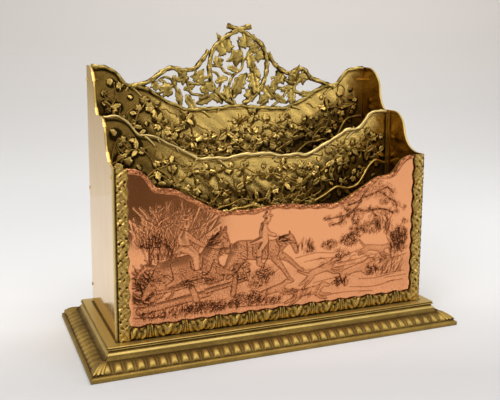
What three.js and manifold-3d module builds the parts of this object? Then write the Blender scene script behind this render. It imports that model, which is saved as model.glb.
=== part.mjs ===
// Letter rack of cast and sheet brass with an embossed copper front, on a stepped base.
// Millimetres, +Z up, the open front faces -Y, origin at the centre of the underside.
import * as THREE from 'three';
import { mergeVertices } from 'three/addons/utils/BufferGeometryUtils.js';
import Module from 'manifold-3d';

const wasm = await Module();
wasm.setup();

// Driving dimensions
const BOX_WIDTH = 260;            // over the side plates
const BOX_DEPTH = 98;             // side plates, front edge to back edge
const DECK_TOP = 18.2;            // top of the base, where the box stands
const BASE_OVERHANG = 23;         // base moulding beyond the box
const DECK_OVERHANG = 8.7;        // upper tier beyond the box
const BOARD_OVERHANG = 2.7;       // wooden board beyond the box
const BLOCK_OVERHANG = 1.7;       // wooden block under the deck beyond the box
const FRONT_TOP = 143.4;          // end height of the front panel
const MIDDLE_TOP = 177.6;         // end height of the divider
const BACK_TOP = 215.4;           // end height of the back panel
const PLATE = 2.2;                // side plate thickness
const CASTING = 2.8;              // thickness of the cast panels
const GAP = 0.3;                  // clearance between pieces that are fitted together

const HALF_WIDTH = BOX_WIDTH / 2;
const HALF_DEPTH = BOX_DEPTH / 2;
const PANEL_HALF = HALF_WIDTH - PLATE - GAP;
const LOWER_TIER_TOP = 12.3;      // top of the gadrooned moulding
const DECK_THICKNESS = 2.4;
const DECK_UNDER = DECK_TOP - DECK_THICKNESS;
const FLOOR_THICKNESS = 1.2;
const FLOOR_UNDER = DECK_TOP + 0.1;
const FLOOR_TOP = FLOOR_UNDER + FLOOR_THICKNESS;

// Stations from front to back: each is the rear face of its piece
const BACK_REAR = 48.4;
const DIVIDER_REAR = 6.3;
const LINING_REAR = -45.6;
const LINING_THICKNESS = 1.4;
const FLOOR_HALF_DEPTH = -LINING_REAR - 0.7;
const COPPER_REAR = LINING_REAR - LINING_THICKNESS - GAP;
const COPPER_THICKNESS = 1.1;
const COPPER_HALF = PANEL_HALF - 1.5;
const COPPER_BOTTOM = 22;
const FRAME_REAR = COPPER_REAR - COPPER_THICKNESS - GAP;
const FRAME_THICKNESS = 2.5;
const FRAME_WIDTH = 9.6;
const PLATE_FRONT = -47.6;        // the side plates stop short of the frame, which leaves a slit

const BRASS_POLISHED = { color: 0xc9a05a, roughness: 0.18, metalness: 1 };
const BRASS_CAST = { color: 0xa98a45, roughness: 0.38, metalness: 1 };
const BRASS_BASE = { color: 0xa5833c, roughness: 0.3, metalness: 1 };
const COPPER = { color: 0xe0946a, roughness: 0.22, metalness: 1 };
const STEEL = { color: 0x77736b, roughness: 0.4, metalness: 1 };
const WOOD = { color: 0x5b3a22, roughness: 0.7, metalness: 0 };
const BAIZE = { color: 0x2f4a34, roughness: 0.95, metalness: 0 };

const rack = new THREE.Group();

function addMesh(parent, name, geometry, finish) {
  const mesh = new THREE.Mesh(geometry, new THREE.MeshStandardMaterial(finish));
  mesh.name = name;
  parent.add(mesh);
  return mesh;
}

function extrude(shape, depth, curveSegments = 6) {
  return new THREE.ExtrudeGeometry(shape, { depth, curveSegments, bevelEnabled: false });
}

// Turns a shape drawn in (x, z) into a plate whose rear face is at y = rear.
function standUp(geometry, rear) {
  geometry.rotateX(Math.PI / 2);
  geometry.translate(0, rear, 0);
  return geometry;
}

function box(width, depth, low, high) {
  const geometry = new THREE.BoxGeometry(width, depth, high - low);
  geometry.translate(0, 0, (low + high) / 2);
  return geometry;
}

function toSolid(geometry) {
  const bare = geometry.clone();
  bare.deleteAttribute('normal');
  bare.deleteAttribute('uv');
  const merged = mergeVertices(bare, 1e-4);
  const vertProperties = new Float32Array(merged.attributes.position.array);
  const triVerts = new Uint32Array(merged.index.array);
  return new wasm.Manifold(new wasm.Mesh({ numProp: 3, vertProperties, triVerts }));
}

function toGeometry(solid) {
  const { vertProperties, triVerts } = solid.getMesh();
  const geometry = new THREE.BufferGeometry();
  geometry.setAttribute('position', new THREE.BufferAttribute(vertProperties, 3));
  geometry.setIndex(new THREE.BufferAttribute(triVerts, 1));
  geometry.computeVertexNormals();
  return geometry;
}

// ---- Base: gadrooned moulding, scotia, boards, deck, baize ----

// Profiles as [distance out from the box face, height].
const GADROON_PROFILE = [
  [3, 0], [BASE_OVERHANG, 0], [BASE_OVERHANG, 3], [22.2, 3.7], [21.3, 3.9], [20.3, 4.5],
  [18, 7], [15.3, 9], [12.2, 10.6], [9.2, 11.5], [8.5, 11.7], [8.5, 12.3], [3, 12.3],
];
const SCOTIA_PROFILE = [
  [2, 12.4], [7.6, 12.4], [7.4, 13.1], [6.6, 13.8], [5.8, 14.2], [5.7, 14.8], [6.6, 15.3], [8, 15.7],
  [2, 15.7],
];

// One length of moulding with both ends mitred at 45 degrees.
function mitredLength(profile, faceDistance, faceHalfLength) {
  const outline = profile.map(([out, up]) => new THREE.Vector2(faceDistance + out, up));
  const geometry = extrude(new THREE.Shape(outline), 1);
  const position = geometry.attributes.position;
  const mitreGap = 0.2;
  for (let i = 0; i < position.count; i += 1) {
    const out = position.getX(i) - faceDistance;
    const side = position.getZ(i) > 0.5 ? 1 : -1;
    position.setZ(i, side * (faceHalfLength + out - mitreGap));
  }
  geometry.rotateX(Math.PI / 2);
  geometry.computeVertexNormals();
  return geometry;
}

function addMouldings(label, profile, finish) {
  const sides = [
    ['right', 0, HALF_WIDTH, HALF_DEPTH],
    ['back', 1, HALF_DEPTH, HALF_WIDTH],
    ['left', 2, HALF_WIDTH, HALF_DEPTH],
    ['front', 3, HALF_DEPTH, HALF_WIDTH],
  ];
  for (const [side, quarterTurns, distance, halfLength] of sides) {
    const turned = new THREE.Group();
    turned.rotation.z = quarterTurns * Math.PI / 2;
    rack.add(turned);
    addMesh(turned, `${label}_${side}`, mitredLength(profile, distance, halfLength), finish);
  }
}

addMouldings('gadroon_moulding', GADROON_PROFILE, BRASS_BASE);
addMouldings('scotia_moulding', SCOTIA_PROFILE, BRASS_BASE);

const SCREW_PLACES = [
  ['front_left', -95, -20], ['front_right', 95, -20], ['back_left', -95, 26], ['back_right', 95, 26],
];
const SCREW_RADIUS = 1.6;
const SCREW_HOLE = SCREW_RADIUS + GAP;
const HEAD_RADIUS = 3.6;
const HEAD_HEIGHT = 2.2;
const BAIZE_THICKNESS = 0.8;
const BOARD_UNDER = BAIZE_THICKNESS + 0.1;

function drilledSheet(halfWidth, halfDepth, thickness, low, holeRadius) {
  const shape = new THREE.Shape();
  shape.moveTo(-halfWidth, -halfDepth);
  shape.lineTo(halfWidth, -halfDepth);
  shape.lineTo(halfWidth, halfDepth);
  shape.lineTo(-halfWidth, halfDepth);
  for (const [, x, y] of SCREW_PLACES) {
    shape.holes.push(new THREE.Path().absarc(x, y, holeRadius, 0, 2 * Math.PI, true));
  }
  const geometry = extrude(shape, thickness);
  geometry.translate(0, 0, low);
  return geometry;
}

function drilledBoard() {
  const boardTop = LOWER_TIER_TOP - 0.1;
  const halfWidth = HALF_WIDTH + BOARD_OVERHANG;
  const halfDepth = HALF_DEPTH + BOARD_OVERHANG;
  let board = toSolid(drilledSheet(halfWidth, halfDepth, boardTop - BOARD_UNDER, BOARD_UNDER, SCREW_HOLE));
  for (const [, x, y] of SCREW_PLACES) {
    const boreRadius = HEAD_RADIUS + GAP;
    const counterbore = new THREE.CylinderGeometry(boreRadius, boreRadius, 2 * HEAD_HEIGHT + 1, 12);
    counterbore.rotateX(Math.PI / 2);
    counterbore.translate(x, y, BOARD_UNDER);
    board = board.subtract(toSolid(counterbore));
  }
  return toGeometry(board);
}

addMesh(rack, 'base_board', drilledBoard(), WOOD);
const DECK_BLOCK_LOW = LOWER_TIER_TOP + 0.1;
const DECK_BLOCK_HEIGHT = DECK_UNDER - 0.1 - DECK_BLOCK_LOW;
addMesh(rack, 'deck_block',
  drilledSheet(HALF_WIDTH + BLOCK_OVERHANG, HALF_DEPTH + BLOCK_OVERHANG, DECK_BLOCK_HEIGHT, DECK_BLOCK_LOW,
    SCREW_HOLE), WOOD);
addMesh(rack, 'deck_plate',
  drilledSheet(HALF_WIDTH + DECK_OVERHANG, HALF_DEPTH + DECK_OVERHANG, DECK_THICKNESS, DECK_UNDER,
    SCREW_HOLE), BRASS_BASE);
addMesh(rack, 'box_floor',
  drilledSheet(PANEL_HALF, FLOOR_HALF_DEPTH, FLOOR_THICKNESS, FLOOR_UNDER, SCREW_HOLE), BRASS_CAST);
addMesh(rack, 'baize_pad',
  box(BOX_WIDTH + 2 * BOARD_OVERHANG, BOX_DEPTH + 2 * BOARD_OVERHANG, 0, BAIZE_THICKNESS), BAIZE);

function screwGeometry() {
  const headLow = BOARD_UNDER + 0.2;
  const neck = headLow + HEAD_HEIGHT;
  const tip = FLOOR_TOP + 3.6;
  const profile = [[0, headLow], [HEAD_RADIUS, headLow], [HEAD_RADIUS, neck - 0.6], [SCREW_RADIUS, neck],
    [SCREW_RADIUS, tip - 0.4], [SCREW_RADIUS - 0.4, tip], [0, tip]];
  const geometry = new THREE.LatheGeometry(profile.map(([r, z]) => new THREE.Vector2(r, z)), 10);
  geometry.rotateX(Math.PI / 2);
  return geometry;
}

// A square nut on the compartment floor, bored to clear the screw.
function nutGeometry() {
  const half = 3.4;
  const shape = new THREE.Shape();
  shape.moveTo(-half, -half);
  shape.lineTo(half, -half);
  shape.lineTo(half, half);
  shape.lineTo(-half, half);
  shape.holes.push(new THREE.Path().absarc(0, 0, SCREW_HOLE, 0, 2 * Math.PI, true));
  const geometry = extrude(shape, 2.6);
  geometry.translate(0, 0, FLOOR_TOP + 0.1);
  return geometry;
}

for (const [place, x, y] of SCREW_PLACES) {
  addMesh(rack, `base_screw_${place}`, screwGeometry(), STEEL).position.set(x, y, 0);
  addMesh(rack, `base_nut_${place}`, nutGeometry(), BRASS_CAST).position.set(x, y, 0);
}

// ---- Side plates ----

const PIN_RADIUS = 0.8;
const PIN_HOLE = PIN_RADIUS + GAP;
const BACK_PIN_Y = 47;
const BACK_PIN_HEIGHTS = [34, 116, 204];
const FRONT_PIN_Y = -42.3;
const FRONT_PIN_HEIGHTS = [30, 137];

function sidePlateShape() {
  const shape = new THREE.Shape();
  shape.moveTo(PLATE_FRONT, FLOOR_UNDER);
  shape.lineTo(HALF_DEPTH, FLOOR_UNDER);
  shape.lineTo(HALF_DEPTH, BACK_TOP);
  shape.lineTo(41, BACK_TOP);
  shape.bezierCurveTo(31, BACK_TOP - 0.8, 23.5, BACK_TOP - 7.9, 20.2, BACK_TOP - 16.4);
  shape.bezierCurveTo(19.3, BACK_TOP - 24.4, 17, MIDDLE_TOP + 3.4, 10.5, MIDDLE_TOP);
  shape.lineTo(-2, MIDDLE_TOP);
  shape.bezierCurveTo(-11, MIDDLE_TOP, -18.5, MIDDLE_TOP - 5.6, -20.6, MIDDLE_TOP - 15.6);
  shape.bezierCurveTo(-22.5, MIDDLE_TOP - 25.6, -30, FRONT_TOP + 0.8, -43, FRONT_TOP + 0.6);
  shape.lineTo(PLATE_FRONT, FRONT_TOP + 0.6);
  for (const z of BACK_PIN_HEIGHTS) {
    shape.holes.push(new THREE.Path().absarc(BACK_PIN_Y, z, PIN_HOLE, 0, 2 * Math.PI, true));
  }
  for (const z of FRONT_PIN_HEIGHTS) {
    shape.holes.push(new THREE.Path().absarc(FRONT_PIN_Y, z, PIN_HOLE, 0, 2 * Math.PI, true));
  }
  return shape;
}

for (const [side, outer] of [['left', -HALF_WIDTH], ['right', HALF_WIDTH - PLATE]]) {
  const plate = addMesh(rack, `side_plate_${side}`, extrude(sidePlateShape(), PLATE), BRASS_POLISHED);
  plate.rotation.set(Math.PI / 2, Math.PI / 2, 0);
  plate.position.x = outer;
}

// ---- Panels: all three have the same branch-shaped top edge ----

const EDGE_END = 118;             // the edge is level from here out to the side plates

// Half of the edge, as [distance from the middle, drop below the end height].
const TOP_EDGE = [
  [114, 0.6], [109, 3], [105, 7.2], [101.5, 11.8], [98, 14.6], [92, 15.6], [86, 16.3], [79, 19.8],
  [71, 24.2], [63, 28.8], [55, 32.6], [47, 35.8], [38, 35.4], [28, 35.6], [18, 34.8], [8, 33.4], [0, 33.4],
];

function panelShape(halfWidth, bottom, endHeight) {
  const left = TOP_EDGE.map(([x, drop]) => new THREE.Vector2(-x, endHeight - drop));
  const right = TOP_EDGE.slice(0, -1).reverse().map(([x, drop]) => new THREE.Vector2(x, endHeight - drop));
  const shape = new THREE.Shape();
  shape.moveTo(halfWidth, bottom);
  shape.lineTo(halfWidth, endHeight);
  shape.lineTo(EDGE_END, endHeight);
  shape.splineThru([...left, ...right].reverse());
  shape.lineTo(-EDGE_END, endHeight);
  shape.lineTo(-halfWidth, endHeight);
  shape.lineTo(-halfWidth, bottom);
  return shape;
}

function panelGeometry(halfWidth, bottom, endHeight, thickness, rear) {
  return standUp(extrude(panelShape(halfWidth, bottom, endHeight), thickness, 2), rear);
}

addMesh(rack, 'divider_panel',
  panelGeometry(PANEL_HALF, FLOOR_TOP + GAP, MIDDLE_TOP - GAP, CASTING, DIVIDER_REAR), BRASS_CAST);
addMesh(rack, 'front_lining',
  panelGeometry(PANEL_HALF, FLOOR_UNDER + GAP, FRONT_TOP - GAP, LINING_THICKNESS, LINING_REAR), BRASS_CAST);
addMesh(rack, 'copper_panel',
  panelGeometry(COPPER_HALF, COPPER_BOTTOM, FRONT_TOP, COPPER_THICKNESS, COPPER_REAR), COPPER);

// ---- Back panel with its pierced crest, one casting ----

const CREST_Y = BACK_REAR - CASTING / 2;
const LIMB_RADIUS = 1.9;
const TWIG_RADIUS = 1.1;

// Limbs that frame the crest, as [x, z] from end to end.
const LIMBS = [
  [[-94, 198], [-80, 202], [-71, 208], [-61, 213.5], [-50, 211.5], [-39, 213.5], [-33, 220], [-26.5, 228.5]],
  [[96, 197], [82, 202], [72, 205.5], [65, 213], [58, 213], [51, 209.5], [44, 211.5], [36, 218], [31.5, 228]],
  [[12, 250], [1.5, 246.8], [-10, 241], [-19, 234], [-24, 226], [-26, 215], [-25, 204], [-20, 194],
    [-12, 187], [-4, 183]],
  [[-9.5, 250], [1.5, 246.8], [12, 241.5], [21, 236], [26, 228], [28, 217], [26, 205], [21, 195], [13, 187],
    [5, 183]],
];

// Twigs inside the crest, as [x, z] from end to end.
const TWIGS = [
  [[-52, 180], [-55, 194], [-59, 203], [-65, 206], [-71, 203]],
  [[-49, 211], [-46, 202], [-43, 193], [-38, 191], [-29, 190], [-19, 187], [-14, 183]],
  [[-45, 201], [-34, 200], [-25, 203]],
  [[-72, 192], [-66, 195], [-58, 199]],
  [[-2, 182], [-8, 194], [-5, 206], [4, 214], [4, 226], [0, 238]],
  [[-25, 216], [-16, 215], [-11, 210], [-4, 208]],
  [[-18, 193], [-16, 202], [-19, 209], [-26, 211]],
  [[8, 207], [3, 197], [-4, 188]],
  [[4, 220], [10, 224], [18, 229], [25, 231]],
  [[7, 183], [12, 192], [16, 203], [18, 214]],
  [[39, 212], [36, 199], [30, 188], [22, 181]],
  [[36, 197], [47, 194], [42, 186], [33, 180]],
  [[45, 204], [57, 201], [63, 208], [64, 212]],
  [[57, 202], [55, 194], [53, 182]],
  [[55, 194], [65, 190], [73, 188]],
];

// Leaves of the crest, as [x, z, length, heading in degrees].
const LEAVES = [
  [-63, 196, 11, 170], [-53, 189, 9, 280], [-49, 206, 10, 200], [-36, 205, 12, 60], [-43, 184, 11, 300],
  [-28, 196, 10, 120], [-30, 187, 10, 210], [-19, 188, 9, 330], [-44, 198, 7, 20],
  [-12, 231, 16, 120], [0, 223, 12, 200], [-18, 220, 8, 250], [8, 236, 14, 100], [14, 231, 9, 20],
  [20, 226, 9, 330], [12, 221, 10, 280], [17, 211, 8, 300], [2, 199, 12, 240], [17, 202, 13, 95],
  [12, 191, 10, 60], [-8, 193, 10, 250], [-15, 203, 8, 200],
  [41, 205, 11, 60], [35, 199, 10, 250], [29, 193, 10, 130], [26, 186, 9, 200], [40, 188, 9, 330],
  [56, 203, 17, 80], [53, 190, 10, 270], [63, 206, 9, 350], [48, 196, 8, 200],
];

function limbGeometry(points, radius, steps, curveSegments) {
  const path = new THREE.CatmullRomCurve3(points.map(([x, z]) => new THREE.Vector3(x, CREST_Y, z)));
  const section = new THREE.Shape().absarc(0, 0, radius, 0, 2 * Math.PI, false);
  return new THREE.ExtrudeGeometry(section, { steps, extrudePath: path, curveSegments, bevelEnabled: false });
}

// A lobed leaf about its own middle, pointing along +x, one unit long.
const LEAF_HALF = [
  [0.5, 0], [0.34, 0.1], [0.3, 0.26], [0.12, 0.2], [0.02, 0.42], [-0.16, 0.26], [-0.36, 0.34], [-0.38, 0.1],
];

function leafGeometry([x, z, length, heading]) {
  const lower = LEAF_HALF.slice(1).reverse().map(([u, v]) => [u, -v]);
  const turn = THREE.MathUtils.degToRad(heading);
  const outline = [...LEAF_HALF, ...lower].map(([u, v]) => {
    const across = length * (u * Math.cos(turn) - v * Math.sin(turn));
    const up = length * (u * Math.sin(turn) + v * Math.cos(turn));
    return new THREE.Vector2(x + across, z + up);
  });
  return standUp(extrude(new THREE.Shape(outline), 2), CREST_Y + 1);
}

function pinHole(side, z) {
  const hole = new THREE.CylinderGeometry(PIN_HOLE, PIN_HOLE, 16, 8);
  hole.rotateZ(Math.PI / 2);
  hole.translate(side * PANEL_HALF, BACK_PIN_Y, z);
  return toSolid(hole);
}

function backPanelGeometry() {
  let casting = toSolid(panelGeometry(PANEL_HALF, FLOOR_UNDER + GAP, BACK_TOP - GAP, CASTING, BACK_REAR));
  for (const limb of LIMBS) {
    casting = casting.add(toSolid(limbGeometry(limb, LIMB_RADIUS, 2 * limb.length, 3)));
  }
  for (const twig of TWIGS) {
    casting = casting.add(toSolid(limbGeometry(twig, TWIG_RADIUS, twig.length + 2, 2)));
  }
  for (const leaf of LEAVES) {
    casting = casting.add(toSolid(leafGeometry(leaf)));
  }
  for (const z of BACK_PIN_HEIGHTS) {
    casting = casting.subtract(pinHole(-1, z)).subtract(pinHole(1, z));
  }
  return toGeometry(casting);
}

addMesh(rack, 'back_panel', backPanelGeometry(), BRASS_CAST);

// ---- Cast frame around the copper: two stiles and a bottom rail, scalloped on the copper's side ----

const SCALLOP_PITCH = 13.8;
const SCALLOP_DEPTH = 1.6;

// A bar along +x with its scalloped edge on top.
function scallopedBar(length, width) {
  const scallops = Math.round(length / SCALLOP_PITCH);
  const pitch = length / scallops;
  const shape = new THREE.Shape();
  shape.moveTo(0, 0);
  shape.lineTo(length, 0);
  shape.lineTo(length, width - SCALLOP_DEPTH);
  for (let i = scallops; i > 0; i -= 1) {
    const middle = (i - 0.5) * pitch;
    const end = (i - 1) * pitch;
    shape.quadraticCurveTo(middle, width + SCALLOP_DEPTH, end, width - SCALLOP_DEPTH);
  }
  return extrude(shape, FRAME_THICKNESS, 4);
}

const FRAME_BOTTOM = FLOOR_UNDER + GAP;
const STILE_LENGTH = FRONT_TOP + 0.4 - FRAME_BOTTOM;

// Each stile is a bar stood on end, with its scallops turned towards the middle.
function stileGeometry(side) {
  const geometry = scallopedBar(STILE_LENGTH, FRAME_WIDTH);
  geometry.translate(0, -HALF_WIDTH, 0);
  if (side < 0) {
    geometry.translate(-STILE_LENGTH, 0, 0);
    geometry.rotateZ(-Math.PI / 2);
  } else {
    geometry.rotateZ(Math.PI / 2);
  }
  geometry.translate(0, FRAME_BOTTOM, 0);
  return standUp(geometry, FRAME_REAR);
}

function railGeometry() {
  const length = 2 * (HALF_WIDTH - FRAME_WIDTH - SCALLOP_DEPTH - GAP);
  const geometry = scallopedBar(length, FRAME_WIDTH);
  geometry.translate(-length / 2, FRAME_BOTTOM, 0);
  return standUp(geometry, FRAME_REAR);
}

addMesh(rack, 'frame_stile_left', stileGeometry(-1), BRASS_CAST);
addMesh(rack, 'frame_stile_right', stileGeometry(1), BRASS_CAST);
addMesh(rack, 'frame_rail_bottom', railGeometry(), BRASS_CAST);

// ---- Angle strips that hold the divider and the front lining to the side plates ----

const STRIP_THICKNESS = 1;

// An upright angle: one leg against the side plate, the other against the panel's face.
function angleStrip(side, panelFace, plateLeg, panelLeg, top, holeHeights) {
  const outer = side * PANEL_HALF;
  const inward = -side;
  const reach = Math.sign(plateLeg);
  const corners = [
    [outer, panelFace], [outer + inward * panelLeg, panelFace],
    [outer + inward * panelLeg, panelFace + reach * STRIP_THICKNESS],
    [outer + inward * STRIP_THICKNESS, panelFace + reach * STRIP_THICKNESS],
    [outer + inward * STRIP_THICKNESS, panelFace + plateLeg], [outer, panelFace + plateLeg],
  ];
  const low = FLOOR_TOP + GAP;
  const shape = new THREE.Shape(corners.map(([x, y]) => new THREE.Vector2(x, y)));
  const geometry = extrude(shape, top - low);
  geometry.translate(0, 0, low);
  let strip = toSolid(geometry);
  for (const z of holeHeights) {
    const hole = new THREE.CylinderGeometry(PIN_HOLE, PIN_HOLE, 4, 8);
    hole.rotateZ(Math.PI / 2);
    hole.translate(outer, FRONT_PIN_Y, z);
    strip = strip.subtract(toSolid(hole));
  }
  return toGeometry(strip);
}

const DIVIDER_FRONT = DIVIDER_REAR - CASTING;
for (const [side, sign] of [['left', -1], ['right', 1]]) {
  addMesh(rack, `divider_strip_${side}`,
    angleStrip(sign, DIVIDER_FRONT - GAP, -4, 1.8, MIDDLE_TOP - 0.8, []), BRASS_CAST);
  addMesh(rack, `front_strip_${side}`,
    angleStrip(sign, LINING_REAR + GAP, 7, 5, FRONT_TOP - 2, FRONT_PIN_HEIGHTS), BRASS_CAST);
}

// ---- Brass pins through the side plates ----

// A small domed pin along +x, with its head's underside at x = 0.
function pinGeometry(shankLength) {
  const profile = [[0, -shankLength], [PIN_RADIUS, -shankLength], [PIN_RADIUS, 0.02], [1.5, 0.02], [1.1, 0.5],
    [0, 0.7]];
  const geometry = new THREE.LatheGeometry(profile.map(([r, x]) => new THREE.Vector2(r, x)), 8);
  geometry.rotateZ(-Math.PI / 2);
  return geometry;
}

function addPins(label, y, heights, shankLength) {
  for (const [side, sign] of [['left', -1], ['right', 1]]) {
    heights.forEach((z, index) => {
      const pin = addMesh(rack, `${label}_${side}_${index + 1}`, pinGeometry(shankLength), BRASS_CAST);
      pin.position.set(sign * HALF_WIDTH, y, z);
      pin.rotation.z = sign > 0 ? 0 : Math.PI;
    });
  }
}

addPins('back_pin', BACK_PIN_Y, BACK_PIN_HEIGHTS, 9);
addPins('front_pin', FRONT_PIN_Y, FRONT_PIN_HEIGHTS, 3.6);

export default rack;
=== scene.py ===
"""Letter rack in cast brass and embossed copper: the visual model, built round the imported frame.

Geometry is worked out in millimetres in the frame's own axes and scaled to metres when a mesh is made.
"""
import math

import bpy
import numpy as np
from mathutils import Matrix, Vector


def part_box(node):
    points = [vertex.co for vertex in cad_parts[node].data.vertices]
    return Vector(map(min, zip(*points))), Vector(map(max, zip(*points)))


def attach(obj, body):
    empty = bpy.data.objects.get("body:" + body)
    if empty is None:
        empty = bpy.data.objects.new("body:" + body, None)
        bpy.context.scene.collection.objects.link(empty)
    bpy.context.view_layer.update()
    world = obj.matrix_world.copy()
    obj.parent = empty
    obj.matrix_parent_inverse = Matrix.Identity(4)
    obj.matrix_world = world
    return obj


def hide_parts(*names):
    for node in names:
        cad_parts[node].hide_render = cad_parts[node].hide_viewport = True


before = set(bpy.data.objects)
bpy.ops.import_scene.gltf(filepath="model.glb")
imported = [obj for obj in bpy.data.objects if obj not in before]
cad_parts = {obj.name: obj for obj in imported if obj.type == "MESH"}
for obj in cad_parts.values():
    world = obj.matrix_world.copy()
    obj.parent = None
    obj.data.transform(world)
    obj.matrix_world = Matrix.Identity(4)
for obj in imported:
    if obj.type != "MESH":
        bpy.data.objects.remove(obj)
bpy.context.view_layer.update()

MM = 0.001


def corners(node):
    """Lowest and highest corner of a CAD node, in millimetres."""
    low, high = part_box(node)
    return np.array(low) / MM, np.array(high) / MM


# ---------------------------------------------------------------- camera

EYE = Vector((-226.3, -527.1, 211.7)) * MM
TARGET = Vector((-7.1, 0.0, 130.5)) * MM
ROLL_DEGREES = 0.3


def make_camera():
    data = bpy.data.cameras.new("camera")
    data.lens = 50.3
    data.sensor_width = 36
    data.shift_y = -0.06
    data.clip_start = 0.02
    data.clip_end = 30
    camera = bpy.data.objects.new("camera", data)
    bpy.context.scene.collection.objects.link(camera)
    camera.location = EYE
    camera.rotation_euler = (TARGET - EYE).to_track_quat("-Z", "Y").to_euler()
    camera.rotation_euler.rotate_axis("Z", math.radians(ROLL_DEGREES))
    bpy.context.scene.camera = camera


# ---------------------------------------------------------------- shaping functions

def unit(value):
    return np.clip(value, 0, 1)


def bell(value, centre, width):
    return np.exp(-((value - centre) / width) ** 2)


# ---------------------------------------------------------------- mesh building

class Shell:
    """Closed surfaces of one piece: vertices in mm and faces, with two values for each vertex.

    wear_and_shade goes from 0 (patina in hollows, and painted shade) to 1 (worn bright metal, and painted
    light); etch says how much fine engraving the material adds.
    """

    def __init__(self):
        self.verts, self.wear_and_shade, self.etch, self.loops, self.sizes = [], [], [], [], []
        self.count = 0

    def add(self, verts, faces, wear_and_shade, etch=0.0):
        verts = np.asarray(verts, float)
        volume = 0.0
        for face in faces:
            for k in range(1, face.shape[1] - 1):
                a, b, c = verts[face[:, 0]], verts[face[:, k]], verts[face[:, k + 1]]
                volume += np.einsum("ij,ij->i", a, np.cross(b, c)).sum()
        for face in faces:
            turned = face if volume > 0 else face[:, ::-1]
            self.loops.append((turned + self.count).ravel())
            self.sizes.append(np.full(len(face), face.shape[1]))
        self.verts.append(verts)
        self.wear_and_shade.append(np.broadcast_to(np.asarray(wear_and_shade, float), (len(verts),)))
        self.etch.append(np.broadcast_to(np.asarray(etch, float), (len(verts),)))
        self.count += len(verts)


def make_piece(name, shell, material, replaced=(), sharp=None):
    """Turns a shell into a mesh object that rides on the root body."""
    verts = np.concatenate(shell.verts) * MM
    loops = np.concatenate(shell.loops)
    sizes = np.concatenate(shell.sizes)
    mesh = bpy.data.meshes.new(name)
    mesh.vertices.add(len(verts))
    mesh.vertices.foreach_set("co", verts.astype(np.float32).ravel())
    mesh.loops.add(len(loops))
    mesh.loops.foreach_set("vertex_index", loops.astype(np.int32))
    mesh.polygons.add(len(sizes))
    starts = np.concatenate([[0], np.cumsum(sizes)[:-1]])
    mesh.polygons.foreach_set("loop_start", starts.astype(np.int32))
    mesh.update(calc_edges=True)
    for key, values in (("wear_and_shade", shell.wear_and_shade), ("etch", shell.etch)):
        attribute = mesh.attributes.new(key, "FLOAT", "POINT")
        attribute.data.foreach_set("value", np.concatenate(values).astype(np.float32))
    mesh.polygons.foreach_set("use_smooth", np.ones(len(sizes), bool))
    if sharp is not None:
        mesh.set_sharp_from_angle(angle=math.radians(sharp))
    mesh.validate()
    mesh.materials.append(material)
    piece = bpy.data.objects.new(name, mesh)
    bpy.context.scene.collection.objects.link(piece)
    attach(piece, "root")
    if replaced:
        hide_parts(*replaced)
    return piece


def make_casting(name, shell, material, *replaced, sharp=None):
    return make_piece(name, shell, MATERIALS[material], replaced, sharp)


def grid_faces(rows, cols, wrap_rows=False, wrap_cols=False, start=0):
    """Quads over a rows x cols grid of vertices stored row by row."""
    r = np.arange(rows if wrap_rows else rows - 1)
    c = np.arange(cols if wrap_cols else cols - 1)
    r, c = np.meshgrid(r, c, indexing="ij")
    r2, c2 = (r + 1) % rows, (c + 1) % cols
    quads = np.stack([r * cols + c, r * cols + c2, r2 * cols + c2, r2 * cols + c], axis=-1)
    return quads.reshape(-1, 4) + start


def cap_fan(hub, ring):
    """Triangles from the vertex hub to a closed ring of vertices, in the ring's own direction."""
    return np.stack([np.full(len(ring), hub), ring, np.roll(ring, -1)], axis=1)


def end_caps(rows, cols):
    """Caps for a grid wrapped into a tube, whose two middle vertices come after the grid's own."""
    ring, total = np.arange(cols), rows * cols
    return np.vstack([cap_fan(total, ring)[:, ::-1], cap_fan(total + 1, total - cols + ring)])


def grid_rim(rows, cols):
    """Vertices round the outside of a grid, in order."""
    top = (rows - 1) * cols
    return np.concatenate([np.arange(cols), np.arange(1, rows) * cols + cols - 1,
                           top + np.arange(cols - 2, -1, -1), np.arange(rows - 2, 0, -1) * cols])


def smooth_curve(points, step):
    """Catmull-Rom curve through the points, sampled about every step mm."""
    p = np.asarray(points, float)
    ends = np.vstack([2 * p[0] - p[1], p, 2 * p[-1] - p[-2]])
    out = []
    for i in range(len(p) - 1):
        a, b, c, d = ends[i:i + 4]
        n = max(2, int(math.ceil(np.linalg.norm(c - b) / step)))
        t = np.linspace(0, 1, n, endpoint=False)[:, None]
        out.append(0.5 * (2 * b + (c - a) * t + (2 * a - 5 * b + 4 * c - d) * t ** 2
                          + (3 * b - a - 3 * c + d) * t ** 3))
    out.append(p[-1:])
    return np.vstack(out)


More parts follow.
